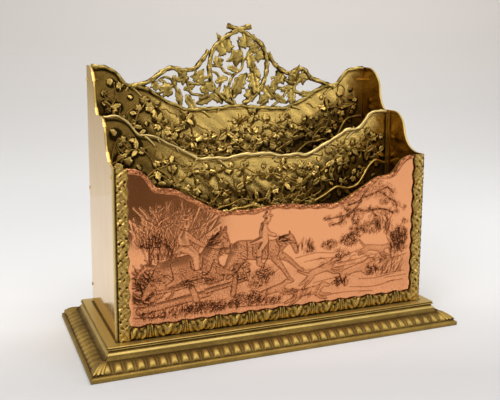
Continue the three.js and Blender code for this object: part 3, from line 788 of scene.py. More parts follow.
def make_foliage(name, node, end_height, rear, bottom, low_branch, seed):
    """Leaves, twigs and berries in relief on one cast panel; returns (x, z, length) of every leaf."""
    rng = np.random.default_rng(seed)
    ground = rear - 1.5
    clearings = list(zip(rng.uniform(-100, 100, 7), rng.uniform(6, 30, 7), rng.uniform(7, 10, 7)))
    clearings += [(-119, 2, 13), (119, 4, 16), (-100, 20, 6)]

    def accept(x, drop):
        crowd = min(1.0, 0.12 + (drop / 27) ** 1.3) * (1 - 0.55 * min(max((-66 - x) / 20, 0), 1))
        return rng.uniform() < crowd and all(math.hypot(x - cx, drop - cd) > r for cx, cd, r in clearings)

    def place(x, drop):
        return np.stack([x, edge_height(x, end_height) - drop], axis=-1)

    leaves, twigs, placed_leaves = Shell(), Shell(), []

    def leaf(centre, size, heading, lift):
        kind = LEAF_KINDS[rng.choice(4, p=(0.40, 0.26, 0.12, 0.22))]
        # The leaves are darkened by the painted shade and reflection from shading().
        deep, left, corner = shading(centre[0], edge_height(centre[0], end_height) - centre[1])
        add_leaf(leaves, kind, (centre[0], ground - lift, centre[1]), size, heading,
                 pitch=rng.normal(0.08, 0.22),
                 roll=rng.normal(0, 0.18), thickness=1.0, curl=rng.uniform(-0.1, 0.25),
                 fold=rng.uniform(-0.25, 0.3),
                 rub_and_shade=(1 - 0.15 * left) * (1 - 0.28 * corner) * (1 - 0.15 * deep), deepest=rear - 0.3)
        placed_leaves.append((centre[0], centre[1], size))

    spots = scatter(rng, 1500, 8, low_branch - 4, 12.6, accept)
    hubs = np.array([place(np.array(x), drop) for x, drop in spots])
    for hub in hubs:
        first, count = rng.uniform(0, 2 * math.pi), rng.integers(2, 5)
        for k in range(count):
            heading = first + 2 * math.pi * k / count + rng.normal(0, 0.25)
            size = rng.uniform(5.8, 9.8)
            arm = 0.5 * size
            leaf(hub + (arm * math.cos(heading), arm * math.sin(heading)), size, heading,
                 rng.uniform(0.2, 0.8))
        dx, dz = rng.normal(0, 1.3, 2)
        add_ball(leaves, (hub[0] + dx, ground - 1.3, hub[1] + dz), rng.uniform(0.5, 0.8))
    for x, drop in scatter(rng, 1300, 6, low_branch + 22, 6.6, accept):
        centre = place(np.array(x), drop)
        if np.hypot(*(hubs - centre).T).min() > 6 and centre[1] > bottom + 6:
            leaf(centre, rng.uniform(4.2, 7.0), rng.uniform(0, 2 * math.pi), rng.uniform(0.1, 0.5))
    for i, hub in enumerate(hubs):
        far = np.hypot(*(hubs - hub).T)
        for j in np.argsort(far)[1:4]:
            if j < i and far[j] < 24:
                bend = (hub + hubs[j]) / 2 + rng.normal(0, 2.4, 2)
                path = smooth_curve([(hub[0], ground - 0.5, hub[1]), (bend[0], ground - 0.4, bend[1]),
                                     (hubs[j][0], ground - 0.5, hubs[j][1])], 1.2)
                add_tube(twigs, path, taper(len(path), 0.8, 0.55), sides=7, bark=0.09, phase=i, wear_and_shade=0.42)
    for x, drop in scatter(rng, 1200, 4, low_branch - 3, 10.5, lambda x, drop: True):
        start = place(np.array(x), drop)
        steps = rng.uniform(2.2, 3.8, 6)
        swirl = rng.uniform(0, 2 * math.pi) + np.cumsum(rng.normal(0.3, 0.55, 6))
        trail = start + np.cumsum(np.stack([steps * np.cos(swirl), steps * np.sin(swirl)], axis=1), axis=0)
        below_edge = edge_height(trail[:, 0], end_height) - trail[:, 1]
        if (below_edge < 2.5).any() or (np.abs(trail[:, 0]) > 124).any():
            continue
        path = smooth_curve(np.column_stack([trail[:, 0], np.full(6, ground - 0.3), trail[:, 1]]), 1.0)
        add_tube(twigs, path, taper(len(path), 0.65, 0.35), sides=6, bark=0.1, wear_and_shade=0.4)
    x = np.linspace(-126, 126, 84)
    wander = 1.2 * np.sin(x / 6.5) + 0.8 * np.sin(x / 3.1 + seed)
    lower = place(x, low_branch + 6 * np.exp(-((np.abs(x) - 94) / 16) ** 2) + wander)
    path = smooth_curve(np.column_stack([lower[:, 0], np.full(84, ground - 0.7), lower[:, 1]]), 1.5)
    # Painted light: the low branch is lighter on the divider and darker, in painted shade, on the back
    # panel.
    add_tube(twigs, path, 1.2, sides=9, bark=0.14, phase=seed, wear_and_shade=0.6 if name == "divider" else 0.3)
    make_casting(f"{name}_leaves", leaves, "leaves", node)
    make_casting(f"{name}_twigs", twigs, "leaves", node)
    return placed_leaves


def make_ground(name, node, end_height, rear, bottom, leaves, half_width):
    """The chased sheet behind the foliage, with painted shadow round every leaf and under the rim branch,
    painted shade low down between the panels and in the right corner, and a painted reflection of the dark
    at the left end.
    """
    shell = Shell()

    def relief(x, z):
        return 0.25 * np.sin(x / 5.1) * np.sin(z / 4.3 + x / 11) + 0.12 * np.sin(x / 2.3 + z / 1.9)

    def wear_and_shade(x, z):
        shade = np.zeros_like(x)
        # Painted shadow round every leaf, centred a little right of and below it.
        for cx, cz, size in leaves:
            first, last = np.searchsorted(x[0], (cx - size, cx + size))
            r = np.hypot(x[:, first:last] - cx - 0.10 * size, z[:, first:last] - cz + 0.12 * size) / size
            shade[:, first:last] = np.maximum(shade[:, first:last], np.exp(-(unit(r - 0.40) / 0.15) ** 2))
        drop = edge_height(x, end_height) - z
        deep, left, corner = shading(x, drop)
        # rim darkens a band just under the rim branch: its painted shadow.
        rim = bell(drop, 3.6, 0.9)
        return np.clip(0.90 - 0.70 * shade - 0.28 * deep - 0.5 * rim - 0.50 * left - 0.36 * corner, 0.06, 1)

    add_sheet(shell, half_width, bottom, end_height - 0.6, rear, 1.5, 340, 240, relief, wear_and_shade)
    make_casting(f"{name}_ground", shell, "ground", node, sharp=60)


def make_rim_branch(name, node, end_height, rear, seed, finish):
    """The branch that forms a panel's top edge, with knots and cut side shoots."""
    rng = np.random.default_rng(seed)
    shell = Shell()
    x = EDGE_CURVE[::2, 0].clip(-126.6, 126.6)
    z = end_height - EDGE_CURVE[::2, 1] - 1.0 + 0.35 * np.sin(x / 4.1 + seed) + 0.25 * np.sin(x / 1.9)
    path = np.column_stack([x, np.full(len(x), rear - 1.7), z])
    along = np.arange(len(path))
    swell = 1 + 0.12 * np.sin(along / 4.7 + seed) + 0.09 * np.sin(along / 2.1) + 0.06 * np.sin(along / 1.3)
    slim = 1 - 0.36 * unit((-40 - x) / 50) if name == "divider" else 1.0
    add_tube(shell, path, 1.7 * swell * slim, sides=14, bark=0.08, phase=seed, outlined=name == "back")
    for start, away in ((-36, 1), (52, 1), (-96, 1), (96, -1)):
        first = np.searchsorted(x, start)
        stub = path[first:first + 6] if away > 0 else path[first - 6:first][::-1]
        fall = np.linspace(0, 1, 6) ** 1.3
        stub = stub + np.column_stack([np.zeros(6), -0.5 * fall, -(1.0 + 6.5 * fall)])
        stub = smooth_curve(stub, 1.0)
        add_tube(shell, stub, taper(len(stub), 1.5, 0.8), sides=12, bark=0.06, phase=start)
    for _ in range(9):
        place = path[rng.integers(12, len(path) - 12)]
        side = rng.choice((-1, 1))
        tip = place + (side * rng.uniform(2, 5), rng.uniform(-1.2, -0.4), -rng.uniform(2, 5))
        shoot = smooth_curve([place, (place + tip) / 2 + (0, -0.4, rng.normal(0, 0.5)), tip], 0.8)
        add_tube(shell, shoot, taper(len(shoot), 1.0, 0.35), sides=8, bark=0.05)
    make_casting(f"{name}_rim", shell, finish, node)


# Panels: name, CAD node, height of its top edge's ends, y of its rear face, seed, material of its rim.
PANELS = [
    ("divider", "divider_panel", 177.3, None, 5, "rim"),
    ("back", "back_panel", 215.1, 48.4, 8, "crest"),
]
LOW_BRANCH_DROP = 45.5


def make_panel(name, node, end_height, rear, seed, finish):
    low, high = corners(node)
    if rear is None:
        rear = high[1]
    leaves = make_foliage(name, node, end_height, rear, low[2], LOW_BRANCH_DROP, seed)
    make_ground(name, node, end_height, rear, low[2], leaves, high[0])
    make_rim_branch(name, node, end_height, rear, seed, finish)


# ---------------------------------------------------------------- low relief

def heading_of(angle):
    return np.array((math.cos(angle), math.sin(angle)))


class Relief:
    """Heights in mm stamped onto a grid of points, with the wear that goes with them."""

    def __init__(self, x, z):
        self.x, self.z = x, z
        self.lift = np.zeros_like(x)
        self.wear_and_shade = np.full_like(x, 0.9)
        self.etch = np.zeros_like(x)

    def columns(self, low, high):
        first, last = np.searchsorted(self.x[0], (low, high))
        return slice(max(first - 1, 0), last + 1)

    def distance(self, bars):
        """Signed distance to bars given as lists of (x, z, radius), and the grid columns it is for."""
        reach = [(x - r, x + r) for bar in bars for x, z, r in bar]
        cols = self.columns(min(a for a, b in reach) - 2.5, max(b for a, b in reach) + 2.5)
        x, z = self.x[:, cols], self.z[:, cols]
        best = np.full_like(x, 1e3)
        for bar in bars:
            for (x0, z0, r0), (x1, z1, r1) in zip(bar[:-1], bar[1:]):
                dx, dz = x1 - x0, z1 - z0
                t = unit(((x - x0) * dx + (z - z0) * dz) / (dx * dx + dz * dz + 1e-9))
                best = np.minimum(best, np.hypot(x - x0 - t * dx, z - z0 - t * dz) - r0 - t * (r1 - r0))
        return best, cols

    def figure(self, bars, height, soft=3.0, rub_and_shade=0.72, outline=0.8, hatch=0.1):
        """A rounded body standing on the ground, with a sunk dark line round it."""
        d, cols = self.distance(bars)
        t = unit(-d / soft)
        dome = height * t * (2 - t)
        near = (d >= 0) & (d < outline)
        fade = 1 - d / outline
        lift, wear_and_shade = self.lift[:, cols], self.wear_and_shade[:, cols]
        lift[:] = np.where(d < 0, dome, np.where(near, lift - 0.12 * fade, lift))
        outside = np.where(near, np.minimum(wear_and_shade, 0.82 - 0.62 * fade), wear_and_shade)
        wear_and_shade[:] = np.where(d < 0, rub_and_shade - 0.36 * np.exp(d / 0.5), outside)
        self.etch[:, cols] = np.where(d < 0, hatch, self.etch[:, cols])

    def stroke(self, points, width, height):
        """A ridge, or with a negative height a dark engraved line, along (x, z) points."""
        d, cols = self.distance([[(x, z, 0.0) for x, z in points]])
        g = np.exp(-(d / width) ** 2)
        self.lift[:, cols] += height * g
        if height < 0:
            self.wear_and_shade[:, cols] *= 1 - min(0.85, 3.5 * abs(height)) * g
        else:
            ring = np.exp(-((d - 1.6 * width) / (0.7 * width)) ** 2)
            self.wear_and_shade[:, cols] = unit(self.wear_and_shade[:, cols] * (1 - 0.5 * ring) + 0.3 * g)

    def patch(self, x, z, spread_x, spread_z, shade, etch):
        """A soft oval of finer, darker engraving."""
        cols = self.columns(x - 1.3 * spread_x, x + 1.3 * spread_x)
        r = np.hypot((self.x[:, cols] - x) / spread_x, (self.z[:, cols] - z) / spread_z)
        inside = np.exp(-r ** 4)
        self.wear_and_shade[:, cols] *= 1 - shade * inside
        self.etch[:, cols] = np.maximum(self.etch[:, cols], etch * inside)

    def scribble(self, rng, x, z, spread_x, spread_z, count, length=1.7, depth=0.11):
        """Foliage as an engraver draws it: short curved cuts and ridges over a stippled patch."""
        self.patch(x, z, 1.1 * spread_x, 1.1 * spread_z, 0.06, 0.26)
        for _ in range(count):
            turn, far = rng.uniform(0, 2 * math.pi), math.sqrt(rng.uniform())
            foot = np.array((x, z)) + far * heading_of(turn) * (spread_x, spread_z)
            heading, bend = rng.uniform(0, 2 * math.pi), rng.normal(0, 0.9)
            reach = 0.5 * length * rng.uniform(0.5, 1.3)
            middle = foot + reach * heading_of(heading)
            tip = middle + reach * heading_of(heading + bend)
            self.stroke([foot, middle, tip], 0.4, rng.choice((-depth, -depth, 0.9 * depth)))

    def tufts(self, rng, group):
        """Tufts of short strokes that rise and bend, as in GRASS."""
        for x, z, spread_x, spread_z, count, length, lean, height, width in GRASS[group]:
            for _ in range(count):
                foot = np.array((x + rng.uniform(-1, 1) * spread_x, z + rng.uniform(-1, 1) * spread_z))
                turn = math.pi / 2 - lean + rng.normal(0, 0.35)
                bend, reach = rng.normal(0, 0.35), length * rng.uniform(0.5, 1.2)
                middle = foot + 0.5 * reach * heading_of(turn)
                self.stroke([foot, middle, middle + 0.5 * reach * heading_of(turn + bend)], width, height)


def placed(bars, x, z, scale, turn):
    """Bars drawn about their own middle, put at (x, z), scaled and turned by degrees."""
    c, s = math.cos(math.radians(turn)), math.sin(math.radians(turn))
    return [[(x + scale * (u * c - v * s), z + scale * (u * s + v * c), scale * r) for u, v,
             r in bar] for bar in bars]


# Bars are lists of (x, z, radius) in mm on the copper panel.
RAISED_HORSE = [
    [(-93, 64, 10), (-77, 67, 10), (-61, 68, 9)], [(-99, 60, 6), (-106, 54, 3), (-110, 48, 1.6)],
    [(-95, 57, 6), (-98, 50, 3), (-104, 46, 1.6)], [(-60, 74, 7), (-55, 83, 5.2), (-50, 89.5, 3.8)],
    [(-49, 90, 3.3), (-46, 83, 2.8), (-45, 77, 2.1)], [(-50, 93, 0.9), (-50.5, 96, 0.4)],
    [(-47.5, 93, 0.9), (-47, 96, 0.4)], [(-55, 65, 4.5), (-47, 61, 2.2), (-41, 60, 1.4), (-38, 57, 1.6)],
    [(-59, 61, 4), (-50, 57, 1.9), (-58, 54.5, 1.3), (-61, 55, 1.5)],
]
RAISED_HORSE_TAIL = [[(-102, 70, 1.8), (-108, 71, 2.0), (-113, 66, 1.2), (-115, 60, 0.4)]]
FIRST_RIDER = [
    [(-78, 83, 4.2), (-80, 90, 4.0), (-78.5, 95.5, 2.8)], [(-77, 99.5, 2.6), (-76.8, 100.5, 2.5)],
    [(-80.5, 103, 1.2), (-73.5, 102.6, 1.0)], [(-78.6, 104.5, 1.8), (-76.4, 104.5, 1.8)],
    [(-78, 93.5, 1.9), (-71.5, 88, 1.6), (-63.5, 83, 1.2)],
    [(-76, 82, 3.6), (-70.5, 77, 2.9), (-69.5, 67, 2.1)],
    [(-69.5, 66, 1.9), (-66.5, 63.5, 1.3)], [(-80, 84, 2.2), (-85, 80, 1.0)],
]
RUNNING_HORSE = [
    [(-35, 77, 7.2), (-22, 76, 7.6), (-8, 75, 7.2)], [(-40, 73, 4.6), (-45, 65, 2.2), (-51, 61, 1.4)],
    [(-35, 69, 4), (-39, 62, 2), (-45, 56.5, 1.3)], [(-4, 77, 6), (2, 81, 4.2), (7, 83, 3)],
    [(8, 82, 2.7), (11, 76.5, 2.2), (12.8, 71.5, 1.6)], [(7, 85.5, 0.8), (6.5, 88, 0.3)],
    [(-3, 71, 3.4), (6, 66, 1.8), (15, 57.5, 1.2), (18, 56, 1.3)],
    [(-6, 68, 3), (1, 59, 1.6), (7, 50, 1.1), (9.5, 48, 1.2)],
]
RUNNING_HORSE_TAIL = [[(-42, 81, 1.6), (-48, 79, 1.9), (-53, 74, 1.1), (-54, 70, 0.4)]]
SECOND_RIDER = [
    [(-15, 83, 3.5), (-15.5, 90, 3.4), (-15, 95, 2.5)], [(-12.3, 99, 2.4), (-12, 99.8, 2.4)],
    [(-15.2, 101.6, 0.8), (-8.8, 101.8, 0.7)], [(-12.6, 103.5, 1.9), (-11.8, 105, 1.9)],
    [(-15, 93.5, 1.7), (-11, 88, 1.4), (-6, 86, 1.2)], [(-17, 84, 2.4), (-25.5, 81.5, 1.0)],
    [(-15, 81.5, 3.2), (-19, 76, 2.5), (-19.3, 66, 1.8)], [(-19.3, 65, 1.7), (-16, 63, 1.2)],
]
HOUND = [
    [(-10, 0, 2.6), (0, 0.8, 2.9), (8, 0.6, 3.6)], [(9, 2, 2.6), (14, 4.4, 1.9)],
    [(14, 4.6, 2.0), (19, 3.2, 1.0)],
    [(-12, 0, 1.2), (-17, 3.5, 0.8), (-21, 6.5, 0.4)], [(-10, -1, 2.3), (-16, -4, 1.2), (-22, -5.6, 0.8)],
    [(-9, -2, 1.9), (-13, -6, 1.0), (-18, -8.4, 0.7)], [(8, -1.5, 1.9), (14, -4.4, 1.0), (20, -5, 0.8)],
    [(7, -2, 1.7), (11, -6.5, 0.9), (16, -8, 0.7)], [(12.5, 4.6, 0.9), (11.5, 1.8, 1.0)],
]
# Hounds: x, z, scale, turn in degrees. Bushes: x, z, spread in x and z, number of strokes.
HOUND_PLACES = [(-7, 42, 0.85, 10), (24, 37, 0.95, 3), (35, 54, 0.95, 14), (66, 51, 1.0, 10),
                (85, 67, 0.8, -12)]
BUSHES = [
    (-33, 61, 7, 8, 60), (-20, 52, 9, 8, 60), (-12, 58, 8, 5, 30), (-62, 36, 20, 5, 110),
    (-100, 62, 7, 7, 30),
    (-30, 38, 12, 6, 70), (-8, 34, 9, 3, 25), (43, 74, 8, 4, 38), (54, 66, 8, 4, 30), (60, 76, 9, 5, 60),
    (66, 83, 8, 6, 45), (80, 86, 10, 6, 70), (108, 76, 9, 8, 75), (107, 66, 9, 6, 45), (82, 50, 7, 5, 36),
    (24, 72, 5, 3, 14), (-72, 56, 12, 3, 24),
]
# Limbs of the tree, as (x, z) paths, and its clumps of leaves, as x, z, spread.
TREE = [
    [(76, 118), (70, 109), (66, 101)], [(68, 105), (60, 98), (48, 96), (39, 95)],
    [(62, 100), (52, 92), (44, 90)],
    [(66, 102), (76, 99), (90, 100), (102, 96)], [(74, 111), (84, 114), (95, 118)], [(70, 108), (58, 105)],
    [(88, 115), (98, 108), (104, 104), (105, 96)], [(66, 101), (63, 93), (67, 89)], [(78, 101), (86, 94)],
    [(60, 98), (55, 103)], [(96, 117), (101, 113)],
]
TREE_LEAVES = [
    (40, 96, 3), (44, 91, 2.6), (53, 91.5, 3), (51, 97, 3), (57, 105, 4), (60, 99, 4), (66, 94, 4),
    (67, 89, 2.5),
    (66, 110, 5), (74, 113, 5), (72, 100, 3), (80, 117, 5), (86, 121, 4), (88, 112, 4), (95, 118, 3.4),
    (100, 113, 3), (92, 106, 3), (99, 107, 3), (104, 103, 3), (104, 96, 3), (96, 98, 3), (88, 99, 3.4),
    (82, 94, 3),
    (79, 100, 3), (60, 112, 3), (112, 100, 2), (113, 88, 2.6),
]
GROUND_LINES = [
    [(12, 66), (30, 68.5), (45, 67)], [(17, 55), (32, 56), (48, 58), (68, 60), (90, 63)],
    [(48, 55), (68, 56.5), (86, 60)], [(28, 44), (45, 46), (62, 47)], [(70, 43), (85, 42), (104, 44)],
    [(2, 41), (18, 40), (33, 41)], [(62, 37), (84, 35), (104, 38)], [(95, 41), (116, 42)],
    [(93, 45), (114, 45.5)],
    [(-118, 60), (-108, 58)], [(52, 63), (64, 66), (76, 69)], [(40, 33), (62, 33), (84, 31)],
    [(98, 37.5), (113, 38)], [(20, 62), (34, 63.5), (46, 63)], [(88, 57), (104, 58), (116, 60)],
    [(-118, 34), (-104, 33), (-92, 32)], [(-44, 33), (-20, 31.5), (2, 31)],
]
LOGS = [
    [[(-113, 38.5, 2.7), (-86, 42.5, 2.8), (-60, 46.5, 2.4)]],
    [[(-62, 48, 1.7), (-44, 51, 1.5), (-30, 54, 1.2)]],
    [[(-99, 51.5, 1.3), (-86, 52.5, 1.3), (-76, 54, 1.1)]], [[(-73.5, 52, 2.1), (-70, 42.5, 2.5)]],
    [[(-38.5, 58, 1.9), (-40.5, 43, 2.1)]], [[(-101.5, 53, 0.8), (-100.5, 47, 0.7), (-102, 42.5, 0.7)]],
    [[(-87.5, 53, 0.7), (-88.5, 48, 0.6), (-93, 45, 0.6)]],
]
# Grass: x, z, spread in x and z, count, length, lean in radians, height and width of the strokes.
GRASS = {
    "thicket": [(-80, 84, 16, 6, 80, 28, 0.12, -0.05, 0.4), (-84, 84, 18, 6, 60, 30, 0.1, 0.08, 0.4)],
    "left": [(-95, 74, 12, 4, 60, 13, 0, -0.14, 0.38), (-109, 62, 5, 8, 40, 10, -0.7, -0.16, 0.38),
             (-107, 48, 6, 7, 60, 9, -0.9, -0.16, 0.38)],
    "manes": [(-58, 86, 4, 4, 26, 6, 0.9, -0.16, 0.4), (-1, 82, 4, 2, 16, 4, 1.0, -0.16, 0.35)],
    "ground": [(-75, 33, 38, 3, 150, 4, 0.3, -0.13, 0.38), (0, 36, 34, 4, 110, 4, 0.5, -0.12, 0.36),
               (54, 40, 6, 3, 30, 7, -0.4, -0.15, 0.36), (97, 50, 14, 7, 90, 6, 0.5, -0.13, 0.36),
               (108, 70, 8, 8, 60, 12, -0.2, -0.12, 0.36), (92, 84, 7, 6, 50, 9, 0.1, -0.13, 0.36),
               (20, 74, 7, 4, 24, 6, 0.2, -0.15, 0.36), (60, 60, 30, 4, 80, 5, 1.3, -0.1, 0.36)],
}
ENGRAVED = [
    [(-62, 82), (-55, 80), (-46, 79)], [(-48.5, 89), (-45, 85)], [(-47.5, 80), (-43.5, 79.5)],
    [(-75, 73), (-73, 66), (-66, 66), (-65, 75)], [(-82, 97), (-76, 95)], [(-83, 85), (-74, 84)],
    [(-25, 79), (-24, 71), (-17, 70)], [(-12, 79), (-12, 70), (-15, 64)], [(-6, 85), (1, 84), (9, 80)],
    [(-18, 96), (-12, 95.5)], [(7.5, 79), (12, 78)], [(-90, 72), (-88, 60), (-94, 56)],
    [(-30, 83), (-29, 71)],
    [(-66, 60), (-60, 63), (-56, 72)], [(-5, 82), (-2, 75), (-4, 69)],
]


def brush_coat(relief, rng, across, up, count):
    """Short faint strokes, as in a horse's coat, over a box of the relief that is standing up."""
    for _ in range(count):
        x, z = rng.uniform(*across), rng.uniform(*up)
        row = np.argmin(np.abs(relief.z[:, relief.x.shape[1] // 2] - z))
        column = np.searchsorted(relief.x[0], x)
        if relief.lift[row, column] > 0.15:
            turn = rng.normal(-0.6, 0.35)
            tip = (x + 4 * math.cos(turn), z + 4 * math.sin(turn))
            relief.stroke([(x, z), tip], 0.4, rng.choice((-0.04, -0.07, 0.04)))


def embossed_scene(relief, edge):
    """A country scene: two riders jumping a rail fence, hounds running ahead, trees, bushes and grass."""
    rng = np.random.default_rng(21)
    field = unit((70 - 0.05 * relief.x - relief.z) / 14)
    near_left = field * unit((10 - relief.x) / 60)
    relief.lift += 0.07 * np.sin(relief.x / 9) * np.sin(relief.z / 7) * field
    relief.wear_and_shade -= 0.05 * field + 0.08 * near_left
    relief.etch += 0.13 * field + 0.12 * near_left
    for line in GROUND_LINES:
        relief.stroke(smooth_curve(line, 4), 0.45, -0.15)
    relief.tufts(rng, "thicket")
    for _ in range(30):
        foot = rng.uniform(-114, -96)
        sway = rng.uniform(-3, 3, 4) + (foot + 104) * 0.3
        height = rng.uniform(14, 30)
        stem = [(foot + s * k / 2, 86 + height * k / 4) for k, s in enumerate((0, *sway))]
        relief.stroke(smooth_curve(stem, 3), 0.5, 0.12)
    relief.scribble(rng, -105, 90, 9, 6, 60)
    relief.tufts(rng, "left")
    relief.figure(RUNNING_HORSE_TAIL, 0.3, soft=1.6, hatch=0.3)
    relief.figure(RUNNING_HORSE, 0.6, soft=7, hatch=0.2)
    brush_coat(relief, rng, (-42, 4), (66, 84), 110)
    relief.figure(SECOND_RIDER, 0.5, rub_and_shade=0.80, hatch=0.14)
    relief.figure(RAISED_HORSE_TAIL, 0.3, soft=1.6, hatch=0.3)
    relief.figure(RAISED_HORSE, 0.65, soft=8, rub_and_shade=0.68, hatch=0.24)
    brush_coat(relief, rng, (-106, -50), (54, 80), 170)
    relief.figure(FIRST_RIDER, 0.45, soft=3.2, rub_and_shade=0.80, hatch=0.14)
    relief.tufts(rng, "manes")
    for line in ENGRAVED:
        relief.stroke(smooth_curve(line, 2), 0.42, -0.18)
    for x, z, scale, turn in HOUND_PLACES:
        relief.figure(placed(HOUND, x, z, scale, turn), 0.35, soft=2.6, rub_and_shade=0.74, hatch=0.12)
    for log in LOGS:
        relief.figure(log, 0.32, soft=2.6, rub_and_shade=0.7, hatch=0.22)
    for x, z, spread_x, spread_z, count in BUSHES:
        relief.scribble(rng, x, z, spread_x, spread_z, int(1.6 * count))
    for branch in TREE:
        path = smooth_curve(branch, 2)
        relief.figure([[(x, z, 0.6 - 0.4 * k / len(path)) for k, (x, z) in enumerate(path)]], 0.2, soft=0.8,
                      outline=0.6)
    for x, z, spread in TREE_LEAVES:
        relief.scribble(rng, x, z, 1.5 * spread, 1.1 * spread, int(4.5 * spread), 1.5, 0.10)
    relief.tufts(rng, "ground")
    keep = unit((119.5 - np.abs(relief.x)) / 2) * unit((edge - 3.2) / 1.0)
    relief.lift *= keep
    relief.etch *= keep
    relief.wear_and_shade = 0.9 + (np.clip(relief.wear_and_shade, 0.12, 1) - 0.9) * keep


def bark_border(relief, edge):
    """The raised knotty border that follows the top edge."""
    width = 3.1 + 0.45 * np.sin(relief.x / 5.3) + 0.35 * np.sin(relief.x / 2.1)
    across = unit(edge / width)
    knots = (0.8 * np.sin(relief.x * 0.83 + 2.1 * edge) + 0.8 * np.sin(relief.x * 1.47 - 1.7 * edge + 1)
             + 0.7 * np.sin(relief.x * 0.39 + 0.9 * edge + 2) + 0.5 * np.sin(relief.x * 2.9 + 0.8 * edge))
    inside = (edge < width) & (np.abs(relief.x) < 120)
    height = 0.9 * np.sqrt(unit(1 - (2 * across - 1) ** 2)) * (1 + 0.14 * knots)
    relief.lift = np.where(inside, height, relief.lift)
    relief.wear_and_shade = np.where(inside, np.clip(0.60 + 0.13 * knots - 0.35 * np.exp(-edge / 0.6), 0.1, 1),
                           relief.wear_and_shade)
    relief.etch = np.where(inside, 0.2, relief.etch)
    # A band just under the border is darkened: the border's painted shadow.
    below = (edge >= width) & (edge < width + 0.9)
    relief.wear_and_shade = np.where(below, np.minimum(relief.wear_and_shade, 0.25 + 0.6 * (edge - width)), relief.wear_and_shade)


COPPER_END_HEIGHT = 143.3


def make_copper():
    low, high = corners("copper_panel")
    half, bottom, end_height = high[0], low[2], COPPER_END_HEIGHT
    columns, rows = 441, 212
    x = np.linspace(-half, half, columns)
    t = np.linspace(0, 1, rows)[:, None]
    z = bottom + t * (edge_height(x, end_height) - bottom)
    x = np.broadcast_to(x, z.shape)
    slope = np.gradient(edge_height(x[0], end_height), x[0])
    edge = (edge_height(x, end_height) - z) / np.hypot(1, slope)
    relief = Relief(x, z)
    embossed_scene(relief, edge)
    bark_border(relief, edge)
    shell = Shell()
    add_field(shell, relief, low[1] + 0.15, high[1])
    make_piece("embossed_copper", shell, MATERIALS["copper"], ("copper_panel",), sharp=75)


def add_field(shell, relief, front, rear, side_wear_and_shade=0.45):
    """A closed sheet whose front face carries a relief and whose back is flat."""
    rows, columns = relief.x.shape
    face = np.stack([relief.x, front - relief.lift, relief.z], axis=-1).reshape(-1, 3)
    n = rows * columns
    edge = grid_rim(rows, columns)
    back = face[edge].copy()
    back[:, 1] = rear
    around = np.arange(len(edge))
    following = np.roll(around, -1)
    rim = np.stack([edge, n + around, n + following, edge[following]], axis=1)
    faces = [grid_faces(rows, columns), rim, (n + around[::-1])[None, :]]
    shell.add(np.vstack([face, back]), faces,
              np.concatenate([relief.wear_and_shade.ravel(), np.full(len(edge), side_wear_and_shade)]),
              np.concatenate([relief.etch.ravel(), np.zeros(len(edge))]))


# ---------------------------------------------------------------- frame round the copper

TIE_PITCH = 26.5
SCROLL_PITCH = 25.2


def ribbon_and_leaf(relief, middle):
    """Rail pattern along x: three-ribbed ties with acanthus leaves curling away on both sides."""
    u, v = relief.x, relief.z - middle
    phase = (u / TIE_PITCH) % 1.0 - 0.5
    s = phase * TIE_PITCH
    across = np.sqrt(unit(1 - (v / 5.0) ** 2))
    curl = np.sin(2 * math.pi * (np.abs(s) - 0.55 * v) / 4.6 + 0.5 * np.sin(0.9 * v))
    fold = np.sin(2 * math.pi * s / 9.3 - 0.5 * v + 1.0)
    scoop = np.exp(-((np.abs(s) - 6.4) / 1.2) ** 2 - ((v - 1.2) / 1.0) ** 2)
    leaf = 1.9 * across + 0.32 * curl + 0.28 * fold - 0.6 * scoop
    distance = np.abs(np.abs(phase) - 0.5) * TIE_PITCH
    tie = distance < 2.7
    rib = np.cos(2 * math.pi * (distance + 0.12 * v) / 2.0)
    relief.lift = np.where(tie, 2.0 * across + 0.4 * rib, leaf) - 0.9
    gap = bell(distance, 2.8, 0.5)
    relief.lift -= 0.45 * gap
    veins = np.sin(2 * math.pi * (np.abs(s) + 0.8 * v) / 1.9 + fold) * np.sin(2.1 * v + 0.8 * u)
    relief.lift += np.where(tie, 0.0, 0.13 * veins)
    ridge = np.where(tie, 0.8 * rib, 0.8 * curl + 0.4 * fold + 0.5 * veins)
    relief.wear_and_shade = np.clip(0.50 + 0.26 * ridge - 0.3 * gap - 0.5 * scoop - 0.3 * (np.abs(v) / 5.2) ** 3,
                          0.02, 1)


# One repeat of the stile: blades as (across, along) pairs, pits as (across, along, half width, half length,
# turn).
BLADES = [((-3.4, -9.5), (3.2, -2.5)), ((-3.6, -4.6), (1.6, 2.4)), ((-2.5, 4.5), (3.6, 9.0)),
          ((-3.4, 8.8), (1.5, 12.4)),
          ((3.6, -11.5), (0.4, -7.0))]
PITS = [(2.5, 0.6, 0.95, 1.0, 0.0), (2.4, -2.6, 0.85, 1.0, 0.0), (-2.3, 0.2, 0.8, 1.1, 0.4),
        (-1.0, -4.4, 0.7, 1.5, 0.7),
        (-2.7, -7.6, 0.6, 1.2, 0.5), (0.7, 5.2, 0.6, 1.6, -0.6), (-2.2, 6.6, 0.7, 1.0, 0.2),
        (2.9, 10.4, 0.7, 1.1, 0.4),
        (-0.6, 10.8, 0.6, 1.1, 0.8)]


